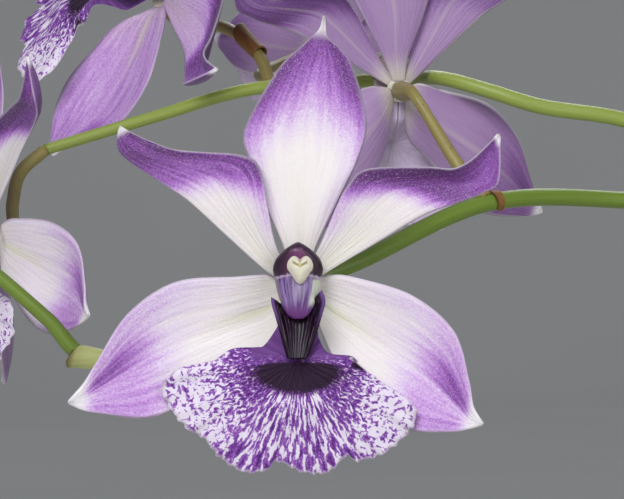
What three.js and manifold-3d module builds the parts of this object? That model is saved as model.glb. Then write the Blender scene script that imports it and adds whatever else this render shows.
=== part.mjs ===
// Potted zygonisia orchid in flower. Millimetres, +Z up.
// The origin is the centre of the pot's base. +X is to the right of a viewer who looks along +Y,
// and the front bloom faces that viewer.
import * as THREE from 'three';
import { mergeVertices } from 'three/addons/utils/BufferGeometryUtils.js';
import Module from 'manifold-3d';

const wasm = await Module();
wasm.setup();

// Pot and potting mix
const POT_HEIGHT = 118;
const POT_FOOT_RADIUS = 44;
const POT_RIM_RADIUS = 65;
const POT_RIM_BAND = 22;
const POT_WALL = 6;
const POT_FLOOR = 8;
const DRAIN_HOLE_RADIUS = 5;
const DRAIN_HOLE_RING = 25;
const DRAIN_HOLE_COUNT = 4;
const MIX_TOP = 103;
const CHIP_COUNT = 30;
const GAP = 0.3;
const ROUND_SIDES = 36;
const WELD = 1e-4;

// Pseudobulbs, with the leaves on each one's top. A leaf has its azimuth, its length, its half width,
// and how far from upright it starts and ends.
const BULB_SUNK = 6;
const BULB_RIBS = 7;
const BULB_CAP_RADIUS = 7;
const BULBS = [
  { at: [-37, -8], radius: 11.5, height: 50, leaves: [[205, 262, 17, 38, 122]] },
  { at: [-26, 27], radius: 12.5, height: 54, leaves: [[150, 268, 17, 40, 124], [100, 288, 18, 26, 110]] },
  { at: [-3, -28], radius: 13, height: 58, leaves: [[272, 296, 19, 20, 112], [237, 285, 18, 30, 118]] },
  {
    at: [19, 24],
    radius: 13.5,
    height: 62,
    leaves: [[78, 312, 19, 14, 100], [52, 330, 20, 10, 92], [26, 322, 19, 16, 106]],
  },
  {
    at: [35, -11],
    radius: 13,
    height: 60,
    leaves: [[360, 318, 19, 12, 104], [333, 326, 20, 10, 96], [303, 300, 18, 20, 114]],
  },
];
const LEAF_THICKNESS = 1.2;
const LEAF_STEPS = 10;
const LEAF_BASE_HALF_WIDTH = 1.9;
const LEAF_TIP_HALF_WIDTH = 0.5;
const LEAF_FROM_AXIS = 4.6;
const LEAF_SPREAD = 72;
const LEAF_LIFT = 0.6;
// Width along a leaf: the share of its length, and the share of its half width
const LEAF_OUTLINE = [
  [0, 0], [0.07, 0.04], [0.16, 0.3], [0.34, 0.8], [0.52, 1], [0.74, 0.82], [0.9, 0.38], [1, 0],
];

// Blooms: where the ovary meets the tepals, and the yaw, pitch and roll of each one.
// Yaw 0 faces the viewer, 90 faces left. A positive pitch looks up, and roll turns it in its plane.
// Droop swings its lateral sepals down, reflex bends them back, and ovary is the ovary's length.
const BLOOMS = [
  { at: [-164.8, -40, 312], turn: [0, 0, 0], droop: 0, reflex: 0, ovary: 11, size: 1 },
  { at: [-145.6, 22, 349.5], turn: [166, 8, -3], droop: 14, reflex: 0, ovary: 11, size: 0.92 },
  { at: [-192.4, 45.6, 369.4], turn: [39.9, 41.6, -76.1], droop: 0, reflex: 28, ovary: 6, size: 1.05 },
  { at: [-221.3, 4.5, 320.4], turn: [65.7, 6.3, 17.3], droop: 0, reflex: 29, ovary: 3, size: 0.93 },
  { at: [-161.7, 89.5, 362.4], turn: [-144.5, 14, 44], droop: 0, reflex: 0, ovary: 11, size: 0.77 },
];

// The front bloom is drawn finer than those behind it.
const FINE = { steps: 10, across: 6, lipRings: 5, lipSkip: 1, columnSides: 10, antherGrid: [12, 3] };
const PLAIN = { steps: 6, across: 4, lipRings: 3, lipSkip: 2, columnSides: 8, antherGrid: [8, 2] };

// Tepals in the bloom's own frame: x right, y up, z forward, origin on the ovary.
// Each section gives one edge, the other edge and how deep the middle lies behind them.
const TEPAL_THICKNESS = 0.8;
const TEPAL_CREASE = 1.6;
const REFLEX_START = 4;
const TEPALS = {
  dorsal_sepal: [
    [[-1.3, 1.6, 0.1], [1.3, 1.6, 0.1], 0.1],
    [[-2.6, 7.2, 1.2], [3.2, 7.2, 1.2], 0.4],
    [[-6.1, 15.0, 2.0], [6.8, 14.8, 2.0], 0.8],
    [[-8.3, 21.4, 2.6], [10.1, 21.7, 2.6], 1.0],
    [[-9.0, 27.1, 3.0], [11.6, 28.1, 3.0], 1.0],
    [[-3.6, 36.7, 3.6], [9.4, 37.0, 3.6], 0.7],
    [[0.2, 40.5, 3.9], [7.1, 40.4, 3.9], 0.5],
    [[2.5, 42.6, 4.2], [5.1, 42.2, 4.2], 0.3],
    [[3.8, 44.0, 4.5], [4.6, 43.9, 4.5], 0.2],
    [[4.2, 45.8, 5.0], [4.5, 45.8, 5.0], 0],
  ],
  petal_left: [
    [[-0.7, 1.9, 0.7], [-1.9, 0.7, 0.7], 0.1],
    [[-3.6, 7.0, 3.6], [-5.9, 3.3, 2.4], 0.4],
    [[-5.1, 13.6, 5.2], [-12.2, 8.9, 2.1], 0.5],
    [[-6.4, 20.4, 5.2], [-18.5, 14.6, 1.2], 0.2],
    [[-9.8, 22.5, 4.8], [-21.8, 16.9, 0.4], 0],
    [[-19.9, 23.3, 4.0], [-28.3, 21.2, -1.2], -0.6],
    [[-24.7, 24.8, 3.2], [-30.4, 23.1, -1.2], -0.8],
    [[-27.8, 26.2, 2.2], [-30.8, 24.9, -0.6], -0.4],
    [[-30.1, 27.5, 0.8], [-30.4, 27.3, 0.8], 0],
  ],
  petal_right: [
    [[0.7, 1.9, 0.7], [1.9, 0.7, 0.7], 0.1],
    [[3.4, 6.8, 3.6], [6.2, 3.5, 2.4], 0.4],
    [[6.4, 13.7, 5.0], [14.5, 8.4, 2.2], 0.7],
    [[8.2, 17.1, 5.0], [18.9, 11.1, 2.0], 0.9],
    [[11.4, 20.1, 4.8], [23.0, 13.1, 1.8], 1.1],
    [[21.4, 20.5, 4.6], [29.1, 15.1, 2.2], 2.2],
    [[25.9, 20.2, 4.8], [31.6, 16.3, 3.0], 2.5],
    [[28.9, 21.6, 5.0], [33.6, 17.6, 4.2], 2.4],
    [[31.4, 23.8, 5.2], [34.0, 20.8, 5.0], 1.7],
    [[33.6, 26.0, 5.6], [33.8, 25.8, 5.6], 0],
  ],
  lateral_sepal_left: [
    [[-1.7, 1.0, 0], [-1.7, -1.4, 0], 0.1],
    [[-4.6, 2.3, 0.9], [-4.6, -9.5, 0.8], 1.8],
    [[-10.5, 2.0, 1.6], [-9.9, -13.2, 0.8], 2.7],
    [[-20.8, 1.1, 2.0], [-18.4, -19.3, 0.8], 2.8],
    [[-28.8, -4.2, 2.4], [-25.6, -22.0, 1.4], 2.1],
    [[-34.0, -12.3, 3.0], [-33.1, -21.2, 2.6], 1.0],
    [[-36.2, -15.9, 3.4], [-36.2, -20.6, 3.2], 0.5],
    [[-38.8, -19.0, 4.0], [-38.8, -19.4, 4.0], 0],
  ],
  lateral_sepal_right: [
    [[1.7, 1.0, 0], [1.7, -1.4, 0], 0.1],
    [[5.3, 2.3, 0.9], [4.9, -9.8, 0.8], 1.8],
    [[10.0, 1.8, 1.6], [7.9, -14.5, 0.8], 2.7],
    [[19.4, -1.2, 2.0], [13.2, -21.2, 0.8], 2.8],
    [[26.4, -7.2, 2.4], [19.3, -24.1, 1.4], 2.1],
    [[28.9, -15.4, 3.0], [25.3, -24.3, 2.6], 1.0],
    [[29.6, -19.7, 3.4], [28.2, -23.9, 3.2], 0.5],
    [[31.2, -22.7, 4.0], [31.2, -23.0, 4.0], 0],
  ],
};
const RECEPTACLE_RADIUS = 2.6;
const RECEPTACLE_HALF_HEIGHT = 0.9;
const RECEPTACLE_RISE = 0.3;
const OVARY_TOP = RECEPTACLE_RISE - RECEPTACLE_HALF_HEIGHT - GAP;

// Lip: outline round the throat, with the neck at its top, and the height along its middle line
const LIP_THICKNESS = 0.8;
const LIP_THROAT = [0, -12];
const LIP_OUTLINE = [
  [1.0, -1.8], [2.3, -4.6], [3.3, -7.1], [3.6, -8.5], [5.1, -10.7], [9.1, -11.3], [10.6, -13.0],
  [14.2, -15.7], [18.7, -18.7], [19.9, -20.5], [19.7, -22.6], [18.1, -25.0], [14.8, -27.7],
  [12.1, -28.8], [9.7, -29.2], [8.2, -28.2], [6.3, -30.1], [4.5, -31.3], [0.6, -31.0], [-2.7, -29.4],
  [-4.2, -29.5], [-5.4, -30.7], [-9.3, -31.0], [-13.2, -28.6], [-15.9, -25.3], [-18.3, -24.1],
  [-21.3, -20.8], [-23.1, -17.5], [-22.8, -16.0], [-20.1, -13.4], [-14.4, -12.1], [-11.1, -10.1],
  [-7.2, -9.8], [-5.7, -9.5], [-3.9, -7.1], [-2.6, -4.6], [-1.3, -1.8],
];
const LIP_THROAT_HEIGHT = 5.9;
const LIP_NECK_HEIGHT = 1.9;
const LIP_NECK_START = -11.5;
const LIP_NECK_END = -6;
const LIP_HUMP = 1.3;
const LIP_HUMP_RADIUS = 7;
const LIP_HUMP_WIDTH = 4;
const LIP_FALL = 0.006;
const LIP_FRILL = 0.4;
const LIP_FRILLS = 17;

// Callus: left rail, trough and right rail of each section, from the throat up to the horns
const CALLUS_THICKNESS = 1;
const CALLUS_CREASE = 1.8;
const CALLUS = [
  [[-1.8, -11.6, 8.2], [-0.1, -11.7, 7.9], [1.6, -11.6, 8.2]],
  [[-2.4, -9.5, 8.3], [-0.1, -9.6, 7.2], [2.4, -9.5, 8.3]],
  [[-3.1, -7.0, 8.5], [0.0, -7.1, 6.3], [3.3, -6.9, 8.5]],
  [[-3.8, -4.5, 8.8], [0.0, -5.0, 5.6], [4.1, -4.2, 8.8]],
  [[-4.4, -2.5, 9.0], [0.0, -4.0, 5.2], [4.6, -2.0, 9.0]],
  [[-4.5, -1.3, 9.2], [0.0, -3.5, 5.0], [4.0, -0.1, 9.2]],
];

// Column: height up the bloom, half width, middle depth and half depth of each section
const COLUMN = [
  [-5.0, 0.5, 7.2, 0.4],
  [-4.2, 1.3, 7.3, 0.6],
  [-2.5, 2.0, 7.0, 1.0],
  [-0.5, 3.3, 5.9, 2.3],
  [1.5, 3.9, 5.6, 2.6],
  [3.3, 4.2, 5.8, 2.5],
  [5.0, 3.7, 6.3, 2.2],
  [6.4, 2.4, 6.8, 1.8],
  [7.3, 1.2, 6.9, 1.2],
  [7.8, 0.3, 6.9, 0.4],
];
const COLUMN_STALK_RADIUS = 1.1;
const COLUMN_STALK_START = RECEPTACLE_RISE + RECEPTACLE_HALF_HEIGHT + GAP;

// Anther cap: a small heart in front of the column's hood
const ANTHER_CENTRE = [0.35, 3.7];
const ANTHER_BACK = 8.8;
const ANTHER_HEIGHT = 1.3;
const ANTHER_HALF_WIDTH = 2.2;

// Stems: the two flower spikes and the pedicels that leave them, as points with a radius
const STEM_SIDES = 6;
const OVARY_RADIUS = 1.9;
// Spike 1 ends in a closed bud.
const SPIKE_1 = [
  [-9, 5, 99, 2.1], [-11, 10, 150, 2.0], [-15, 16, 200, 1.9], [-22, 22, 250, 1.8], [-35, 26, 290, 1.7],
  [-55, 26, 315, 1.7], [-80, 24, 326, 1.65], [-102.2, 20, 328.1, 1.65], [-129.5, 5, 327.3, 1.65],
  [-155.6, -12, 315.8, 1.6], [-173.5, -18, 309.6, 1.55], [-202, -19, 299.3, 1.5],
  [-209.5, -19.5, 306.2, 1.3], [-217.5, -20.5, 313.3, 1.25], [-222.5, -23, 317.5, 1.25],
  [-226, -25.5, 321, 1.6], [-228.5, -27.5, 325, 3.6], [-230.5, -29, 330, 4.4], [-232, -30, 335, 3],
  [-233, -30.5, 338.5, 0.7],
];
const SPIKE_2 = [
  [1, 15, 99, 2.0], [-5, 18, 150, 1.9], [-17, 26, 210, 1.8], [-30, 32, 270, 1.7], [-50, 32, 310, 1.6],
  [-75, 26, 334, 1.5], [-102.2, 20, 343.6, 1.5], [-118.3, 20, 346.2, 1.5], [-128, 21, 349.2, 1.45],
  [-136.7, 25, 351.9, 1.4], [-143, 37, 352.6, 1.4], [-156.8, 40, 352.2, 1.35],
  [-175.3, 33, 350.2, 1.3], [-194.2, 27, 344.3, 1.2], [-214.2, 22, 337.9, 1.1],
];
// Each pedicel starts inside its spike, passes its own points and runs into the bloom's ovary.
const PEDICELS = [
  { bloom: 0, points: [[-173.5, -18, 309.6], [-169, -26, 311.2]] },
  { bloom: 1, points: [[-129.5, 5, 327.3], [-135, 9, 334.7]] },
  { bloom: 2, points: [[-170.5, 36, 350.8], [-172.8, 40, 357], [-176.5, 45, 361.5], [-181.5, 49.5, 364.3]] },
  { bloom: 3, points: [[-214.2, 22, 337.9], [-218.6, 19.5, 333.5], [-219.6, 14.5, 327.5]] },
  { bloom: 4, points: [[-164.9, 37.6, 351.7], [-172, 52, 354], [-173, 68, 356]] },
];
const PEDICEL_RADIUS = 1.25;
// Bracts: thin sheaths round the spikes below each pedicel, and up the lower stem
const BRACT_RADIUS = 0.9;
const BRACTS_1 = [[1.3, 14], [3.2, 14], [8, 5], [10, 5], [11, 8]];
const BRACTS_2 = [[1.3, 13], [3.2, 13], [12, 5], [13.6, 5]];

// Aerial roots over the mix and the rim
const ROOT_SIDES = 6;
const ROOTS = [
  [[-40, -22.5, 99, 1.8], [-41, -23, 109, 2.0], [-44, -25, 118, 2.1], [-51.5, -29, 122.8, 2.1],
    [-58.5, -33, 120.8, 2.0], [-61, -35, 111, 1.9], [-61, -35.5, 95, 1.7], [-59, -35, 80, 1.1]],
  [[39, -27, 99, 1.7], [40, -27.5, 109, 1.9], [42.5, -29.5, 118, 2.0], [48.5, -34, 122.6, 2.0],
    [54.5, -38.5, 120.4, 1.9], [57, -40.5, 110, 1.8], [57, -41, 97, 1.1]],
];
const HOLE_EASE = 1.16;

const COLOURS = {
  pot: { color: '#b5673f', roughness: 0.85 },
  mix: { color: '#4a2f1d', roughness: 0.95 },
  bulb: { color: '#7d9440', roughness: 0.55 },
  leaf: { color: '#3f7229', roughness: 0.45 },
  stem: { color: '#8fa744', roughness: 0.5 },
  root: { color: '#c9cbb5', roughness: 0.8 },
  tepal: { color: '#b592cf', roughness: 0.5 },
  lip: { color: '#d9cbe8', roughness: 0.5 },
  callus: { color: '#2b1233', roughness: 0.3 },
  column: { color: '#6a3f86', roughness: 0.4 },
  anther: { color: '#f0e9cf', roughness: 0.45 },
};

const vec = (x, y, z) => new THREE.Vector3(x, y, z);
const radians = THREE.MathUtils.degToRad;

// A seeded draw between low and high, so that every build places the same chips
let seed = 20;
function draw(low, high) {
  seed = (seed * 16807) % 2147483647;
  return low + (high - low) * (seed / 2147483647);
}

// A closed solid, facing out, from a geometry whose normals and uvs don't matter
function solidOf(geometry) {
  const plain = geometry.clone();
  plain.deleteAttribute('normal');
  plain.deleteAttribute('uv');
  const merged = mergeVertices(plain, WELD);
  const index = merged.index.array;
  const faces = [];
  for (let i = 0; i < index.length; i += 3) {
    const [a, b, c] = index.slice(i, i + 3);
    if (a !== b && b !== c && a !== c) faces.push([a, b, c]);
  }
  const vertProperties = new Float32Array(merged.attributes.position.array);
  const solid = (corners) => new wasm.Manifold(new wasm.Mesh({
    numProp: 3, vertProperties, triVerts: new Uint32Array(corners.flat()),
  }));
  const first = solid(faces);
  return first.volume() > 0 ? first : solid(faces.map(([a, b, c]) => [a, c, b]));
}

function solidFrom(points, faces) {
  const geometry = new THREE.BufferGeometry().setFromPoints(points);
  geometry.setIndex(faces.flat());
  return solidOf(geometry);
}

function geometryOf(solid) {
  const mesh = solid.getMesh();
  const geometry = new THREE.BufferGeometry();
  geometry.setAttribute('position', new THREE.BufferAttribute(mesh.vertProperties, 3));
  geometry.setIndex(new THREE.BufferAttribute(mesh.triVerts, 1));
  geometry.computeVertexNormals();
  return geometry;
}

// One body: loose scraps are dropped and sealed hollows filled
function wholeBody(solid) {
  return solid.decompose().reduce((most, next) => (next.volume() > most.volume() ? next : most));
}

function join(solids) {
  return wholeBody(solids.reduce((whole, next) => whole.add(next)));
}

function meshOf(name, solid, look) {
  const material = new THREE.MeshStandardMaterial({ metalness: 0, ...COLOURS[look] });
  const mesh = new THREE.Mesh(geometryOf(solid), material);
  mesh.name = name;
  return mesh;
}

// A solid between a front and a back grid of points, split into triangles alike on both faces.
// A wrapped grid closes on itself across, as a disc or a cup does.
function slab(front, back, wrap = false) {
  const rows = front.length;
  const columns = front[0].length;
  const steps = wrap ? columns : columns - 1;
  const points = [...front.flat(), ...back.flat()];
  const f = (i, j) => i * columns + (j % columns);
  const b = (i, j) => rows * columns + f(i, j);
  const faces = [];
  const quad = (p, q, r, s) => faces.push([p, q, r], [p, r, s]);
  for (let i = 0; i < rows - 1; i += 1) {
    for (let j = 0; j < steps; j += 1) {
      quad(f(i, j), f(i + 1, j), f(i + 1, j + 1), f(i, j + 1));
      faces.push([b(i, j), b(i + 1, j + 1), b(i + 1, j)], [b(i, j), b(i, j + 1), b(i + 1, j + 1)]);
    }
    if (!wrap) {
      quad(f(i + 1, 0), f(i, 0), b(i, 0), b(i + 1, 0));
      quad(f(i, steps), f(i + 1, steps), b(i + 1, steps), b(i, steps));
    }
  }
  for (let j = 0; j < steps; j += 1) {
    quad(f(0, j), f(0, j + 1), b(0, j + 1), b(0, j));
    quad(f(rows - 1, j + 1), f(rows - 1, j), b(rows - 1, j), b(rows - 1, j + 1));
  }
  return solidFrom(points, faces);
}

// A closed solid through a row of rings that hold the same number of points
function loft(rings) {
  const sides = rings[0].length;
  const points = rings.flat();
  const faces = [];
  for (let i = 0; i < rings.length - 1; i += 1) {
    for (let j = 0; j < sides; j += 1) {
      const [a, b] = [i * sides + j, i * sides + ((j + 1) % sides)];
      faces.push([a, b, b + sides], [a, b + sides, a + sides]);
    }
  }
  const last = (rings.length - 1) * sides;
  for (let j = 1; j < sides - 1; j += 1) {
    faces.push([0, j + 1, j], [last, last + j, last + j + 1]);
  }
  return solidFrom(points, faces);
}

// A round stem along points that carry a radius, with a step about every stepLength
function stemSolid(points, sides, stepLength) {
  const curve = new THREE.CatmullRomCurve3(points.map(([x, y, z]) => vec(x, y, z)), false, 'centripetal');
  const steps = Math.max(4, Math.round(curve.getLength() / stepLength));
  const frames = curve.computeFrenetFrames(steps, false);
  const rings = [];
  for (let i = 0; i <= steps; i += 1) {
    const t = curve.getUtoTmapping(i / steps);
    const place = t * (points.length - 1);
    const before = Math.min(Math.floor(place), points.length - 2);
    const radius = THREE.MathUtils.lerp(points[before][3], points[before + 1][3], place - before);
    const centre = curve.getPoint(t);
    rings.push(circle(centre, frames.normals[i], frames.binormals[i], radius, sides));
  }
  return loft(rings);
}

function circle(centre, right, up, radius, sides) {
  return Array.from({ length: sides }, (_, j) => {
    const angle = (2 * Math.PI * j) / sides;
    return centre.clone()
      .addScaledVector(right, radius * Math.cos(angle))
      .addScaledVector(up, radius * Math.sin(angle));
  });
}

// The normals of a grid of points, from the points beside each one
function gridNormals(grid) {
  const last = grid.length - 1;
  return grid.map((row, i) => row.map((_, j) => {
    const along = grid[Math.min(i + 1, last)][j].clone().sub(grid[Math.max(i - 1, 0)][j]);
    const across = row[Math.min(j + 1, row.length - 1)].clone().sub(row[Math.max(j - 1, 0)]);
    return along.cross(across).normalize();
  }));
}

function thicken(grid, thickness) {
  const normals = gridNormals(grid);
  const shift = (sign) => grid.map((row, i) => row.map((point, j) => (
    point.clone().addScaledVector(normals[i][j], (sign * thickness) / 2))));
  return slab(shift(1), shift(-1));
}

// A tepal's middle surface: three smooth lines along it, and a channel across
function tepalGrid(sections, steps, across) {
  const line = (pick) => new THREE.CatmullRomCurve3(sections.map(pick), false, 'catmullrom', 0.5);
  const middleOf = ([a, b, depth]) => (
    vec((a[0] + b[0]) / 2, (a[1] + b[1]) / 2, (a[2] + b[2]) / 2 - depth));
  const edgeA = line(([a]) => vec(...a));
  const edgeB = line(([, b]) => vec(...b));
  const middle = line(middleOf);
  return Array.from({ length: steps + 1 }, (_, i) => {
    const [a, b, m] = [edgeA, edgeB, middle].map((curve) => curve.getPoint(i / steps));
    const rise = a.clone().add(b).multiplyScalar(0.5).sub(m);
    return Array.from({ length: across + 1 }, (__, j) => {
      const v = (2 * j) / across - 1;
      return m.clone()
        .addScaledVector(b.clone().sub(a), v / 2)
        .addScaledVector(rise, Math.abs(v) ** TEPAL_CREASE);
    });
  });
}

// Bends a point back by that angle where it is far enough out from the bloom's middle
function reflexed(point, angle) {
  const out = Math.max(Math.abs(point.x) - REFLEX_START, 0);
  point.x -= Math.sign(point.x) * out * (1 - Math.cos(angle));
  point.z -= out * Math.sin(angle);
  return point;
}

function tepalsSolid(steps, across, { droop, reflex }) {
  const receptacle = new THREE.SphereGeometry(RECEPTACLE_RADIUS, 8, 4);
  receptacle.rotateX(Math.PI / 2);
  receptacle.scale(1, 1, RECEPTACLE_HALF_HEIGHT / RECEPTACLE_RADIUS);
  receptacle.translate(0, 0, RECEPTACLE_RISE);
  const swing = { lateral_sepal_left: droop, lateral_sepal_right: -droop };
  const axis = vec(0, 0, 1);
  const blades = Object.entries(TEPALS).map(([name, sections]) => {
    const grid = tepalGrid(sections, steps, across);
    if (name in swing) {
      const bent = grid.flat().map((point) => reflexed(point, radians(reflex)));
      bent.forEach((point) => point.applyAxisAngle(axis, radians(swing[name])));
    }
    return thicken(grid, TEPAL_THICKNESS);
  });
  return join([solidOf(receptacle), ...blades]);
}

function lipHeight(x, y) {
  const radius = Math.hypot(x - LIP_THROAT[0], y - LIP_THROAT[1]);
  const neck = THREE.MathUtils.smoothstep(y, LIP_NECK_START, LIP_NECK_END);
  const hump = LIP_HUMP * Math.exp(-(((radius - LIP_HUMP_RADIUS) / LIP_HUMP_WIDTH) ** 2));
  const apron = LIP_THROAT_HEIGHT + hump - LIP_FALL * radius ** 2;
  return THREE.MathUtils.lerp(apron, LIP_NECK_HEIGHT, neck);
}

function lipSolid(rings, skip) {
  const outline = LIP_OUTLINE.filter((_, i) => i % skip === 0);
  const surface = (shift) => Array.from({ length: rings + 1 }, (_, i) => outline.map(([x, y]) => {
    const share = i / rings;
    const px = THREE.MathUtils.lerp(LIP_THROAT[0], x, share);
    const py = THREE.MathUtils.lerp(LIP_THROAT[1], y, share);
    const angle = Math.atan2(y - LIP_THROAT[1], x - LIP_THROAT[0]);
    const frill = y < LIP_NECK_START ? LIP_FRILL * share ** 3 * Math.sin(LIP_FRILLS * angle) : 0;
    return vec(px, py, lipHeight(px, py) + frill + shift);
  }));
  return slab(surface(LIP_THICKNESS / 2), surface(-LIP_THICKNESS / 2), true);
}

function callusSolid() {
  const across = 4;
  const front = CALLUS.map((rails) => {
    const [left, trough, right] = rails.map((rail) => vec(...rail));
    const rise = left.clone().add(right).multiplyScalar(0.5).sub(trough);
    return Array.from({ length: across + 1 }, (_, j) => {
      const v = (2 * j) / across - 1;
      return trough.clone()
        .addScaledVector(right.clone().sub(left), v / 2)
        .addScaledVector(rise, Math.abs(v) ** CALLUS_CREASE);
    });
  });
  const back = front.map((row) => row.map((point) => vec(point.x, point.y, point.z - CALLUS_THICKNESS)));
  return slab(front, back);
}

function columnSolid(sides) {
  const rings = COLUMN.map(([height, halfWidth, depth, halfDepth]) => (
    Array.from({ length: sides }, (_, j) => {
      const angle = (2 * Math.PI * j) / sides;
      return vec(halfWidth * Math.cos(angle), height, depth + halfDepth * Math.sin(angle));
    })));
  const body = loft(rings);
  const foot = vec(0, 0, COLUMN_STALK_START);
  const inside = vec(0, 0.5, COLUMN[3][2]);
  const ends = [foot, inside].map((p) => circle(p, vec(1, 0, 0), vec(0, 1, 0), COLUMN_STALK_RADIUS, 6));
  return body.add(loft(ends));
}

function antherSolid(sides, rings) {
  const heart = (angle) => {
    const notch = 0.35 * Math.exp(-(((angle - Math.PI / 2) / 0.35) ** 2));
    const point = 0.18 * Math.exp(-(((angle - 1.5 * Math.PI) / 0.45) ** 2));
    return ANTHER_HALF_WIDTH * (1 - notch + point);
  };
  const grid = (height) => Array.from({ length: rings + 1 }, (_, i) => (
    Array.from({ length: sides }, (__, j) => {
      const angle = (2 * Math.PI * (j + 0.5)) / sides;
      const share = i / rings;
      const radius = heart(angle) * share;
      const x = ANTHER_CENTRE[0] + radius * Math.cos(angle);
      const y = ANTHER_CENTRE[1] + radius * Math.sin(angle);
      return vec(x, y, ANTHER_BACK + height * (1.15 - share ** 2));
    })));
  const flat = grid(0);
  return slab(grid(ANTHER_HEIGHT), flat, true);
}

// The bloom's axes: x right, y up and z the way it faces
function bloomTurn({ turn }) {
  const [y, p, r] = turn.map(radians);
  const facing = vec(-Math.sin(y) * Math.cos(p), -Math.cos(y) * Math.cos(p), Math.sin(p));
  const levelRight = vec(Math.cos(y), -Math.sin(y), 0);
  const levelUp = facing.clone().cross(levelRight);
  const right = levelRight.clone().multiplyScalar(Math.cos(r)).addScaledVector(levelUp, Math.sin(r));
  const up = levelUp.clone().multiplyScalar(Math.cos(r)).addScaledVector(levelRight, -Math.sin(r));
  return new THREE.Matrix4().makeBasis(right, up, facing);
}

function bloomGroup(bloom, index) {
  const grain = index === 0 ? FINE : PLAIN;
  const tepals = tepalsSolid(grain.steps, grain.across, bloom);
  const name = (piece) => `bloom_${index + 1}_${piece}`;
  const group = new THREE.Group();
  group.position.set(...bloom.at);
  group.quaternion.setFromRotationMatrix(bloomTurn(bloom));
  group.scale.setScalar(bloom.size);
  group.add(meshOf(name('tepals'), tepals, 'tepal'));
  group.add(meshOf(name('lip'), lipSolid(grain.lipRings, grain.lipSkip), 'lip'));
  group.add(meshOf(name('callus'), callusSolid(), 'callus'));
  group.add(meshOf(name('column'), columnSolid(grain.columnSides), 'column'));
  group.add(meshOf(name('anther_cap'), antherSolid(...grain.antherGrid), 'anther'));
  return group;
}

// Points on a bloom's own axis behind it: the ovary and the bend into the pedicel
function ovaryPoints(bloom) {
  const facing = new THREE.Vector3().setFromMatrixColumn(bloomTurn(bloom), 2);
  const behind = (distance) => vec(...bloom.at).addScaledVector(facing, -distance * bloom.size);
  const stops = [
    [bloom.ovary, PEDICEL_RADIUS], [bloom.ovary / 2, OVARY_RADIUS], [-OVARY_TOP, OVARY_RADIUS],
  ];
  return stops.map(([distance, radius]) => [...behind(distance).toArray(), radius * bloom.size]);
}

function pedicelSolid({ bloom, points }) {
  const line = [...points.map((p) => [...p, PEDICEL_RADIUS]), ...ovaryPoints(BLOOMS[bloom])];
  return stemSolid(line, STEM_SIDES, 4.5);
}

// A bract: a thin sheath that stands out a little from the spike at a point along it
function bractSolid(spike, [place, length]) {
  const curve = new THREE.CatmullRomCurve3(spike.map(([x, y, z]) => vec(x, y, z)), false, 'centripetal');
  const at = Math.min(place, spike.length - 1.01);
  const radius = spike[Math.round(at)][3];
  const centre = curve.getPoint(at / (spike.length - 1));
  const along = curve.getTangent(at / (spike.length - 1));
  const foot = centre.clone().addScaledVector(along, -length / 2);
  const mouth = centre.clone().addScaledVector(along, length / 2);
  const wide = radius + BRACT_RADIUS;
  const stops = [[foot, radius * 0.9], [centre, wide], [mouth, wide * 0.92]];
  return stemSolid(stops.map(([p, r]) => [...p.toArray(), r]), STEM_SIDES, length / 4);
}

function spikeSolid(spike, bracts, blooms) {
  const pedicels = PEDICELS.filter(({ bloom }) => blooms.includes(bloom));
  return join([
    stemSolid(spike, STEM_SIDES, 13),
    ...pedicels.map(pedicelSolid),
    ...bracts.map((bract) => bractSolid(spike, bract)),
  ]);
}

function potSolid() {
  const lip = POT_HEIGHT - POT_RIM_BAND;
  const bandInset = 4;
  const inside = POT_RIM_RADIUS - bandInset - POT_WALL;
  const profile = [
    [0, 0], [POT_FOOT_RADIUS - 2, 0], [POT_FOOT_RADIUS, 2],
    [POT_RIM_RADIUS - bandInset, lip], [POT_RIM_RADIUS, lip],
    [POT_RIM_RADIUS, POT_HEIGHT - 2], [POT_RIM_RADIUS - 2, POT_HEIGHT],
    [inside + 2, POT_HEIGHT], [inside, POT_HEIGHT - 2], [potInside(POT_FLOOR), POT_FLOOR], [0, POT_FLOOR],
  ];
  const body = solidOf(turned(profile));
  return Array.from({ length: DRAIN_HOLE_COUNT }).reduce((pot, _, i) => {
    const angle = (2 * Math.PI * (i + 0.5)) / DRAIN_HOLE_COUNT;
    const hole = new THREE.CylinderGeometry(DRAIN_HOLE_RADIUS, DRAIN_HOLE_RADIUS, 3 * POT_FLOOR, 16);
    hole.rotateX(Math.PI / 2);
    hole.translate(DRAIN_HOLE_RING * Math.cos(angle), DRAIN_HOLE_RING * Math.sin(angle), POT_FLOOR / 2);
    return pot.subtract(solidOf(hole));
  }, body);
}

// The inner radius of the pot at a height
function potInside(z) {
  const [foot, top] = [POT_FOOT_RADIUS - POT_WALL, POT_RIM_RADIUS - 4 - POT_WALL];
  return THREE.MathUtils.lerp(foot, top, (z - POT_FLOOR) / (POT_HEIGHT - 2 - POT_FLOOR));
}

function turned(profile) {
  const geometry = new THREE.LatheGeometry(profile.map(([r, z]) => new THREE.Vector2(r, z)), ROUND_SIDES);
  geometry.rotateX(Math.PI / 2);
  return geometry;
}

function bulbRings(bulb, grow) {
  const foot = MIX_TOP - BULB_SUNK;
  const profile = [
    [-grow, 0.72], [0.12, 0.9], [0.35, 1], [0.6, 0.9], [0.82, 0.7], [1, BULB_CAP_RADIUS / bulb.radius],
  ];
  return profile.map(([share, wide]) => {
    const z = foot + Math.max(share, 0) * bulb.height + Math.min(share, 0);
    return Array.from({ length: 2 * BULB_RIBS }, (_, j) => {
      const angle = (Math.PI * j) / BULB_RIBS;
      const rib = j % 2 ? 0.93 : 1;
      const radius = bulb.radius * wide * (share < 1 ? rib : 1) + grow;
      return vec(bulb.at[0] + radius * Math.cos(angle), bulb.at[1] + radius * Math.sin(angle), z);
    });
  });
}

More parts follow.
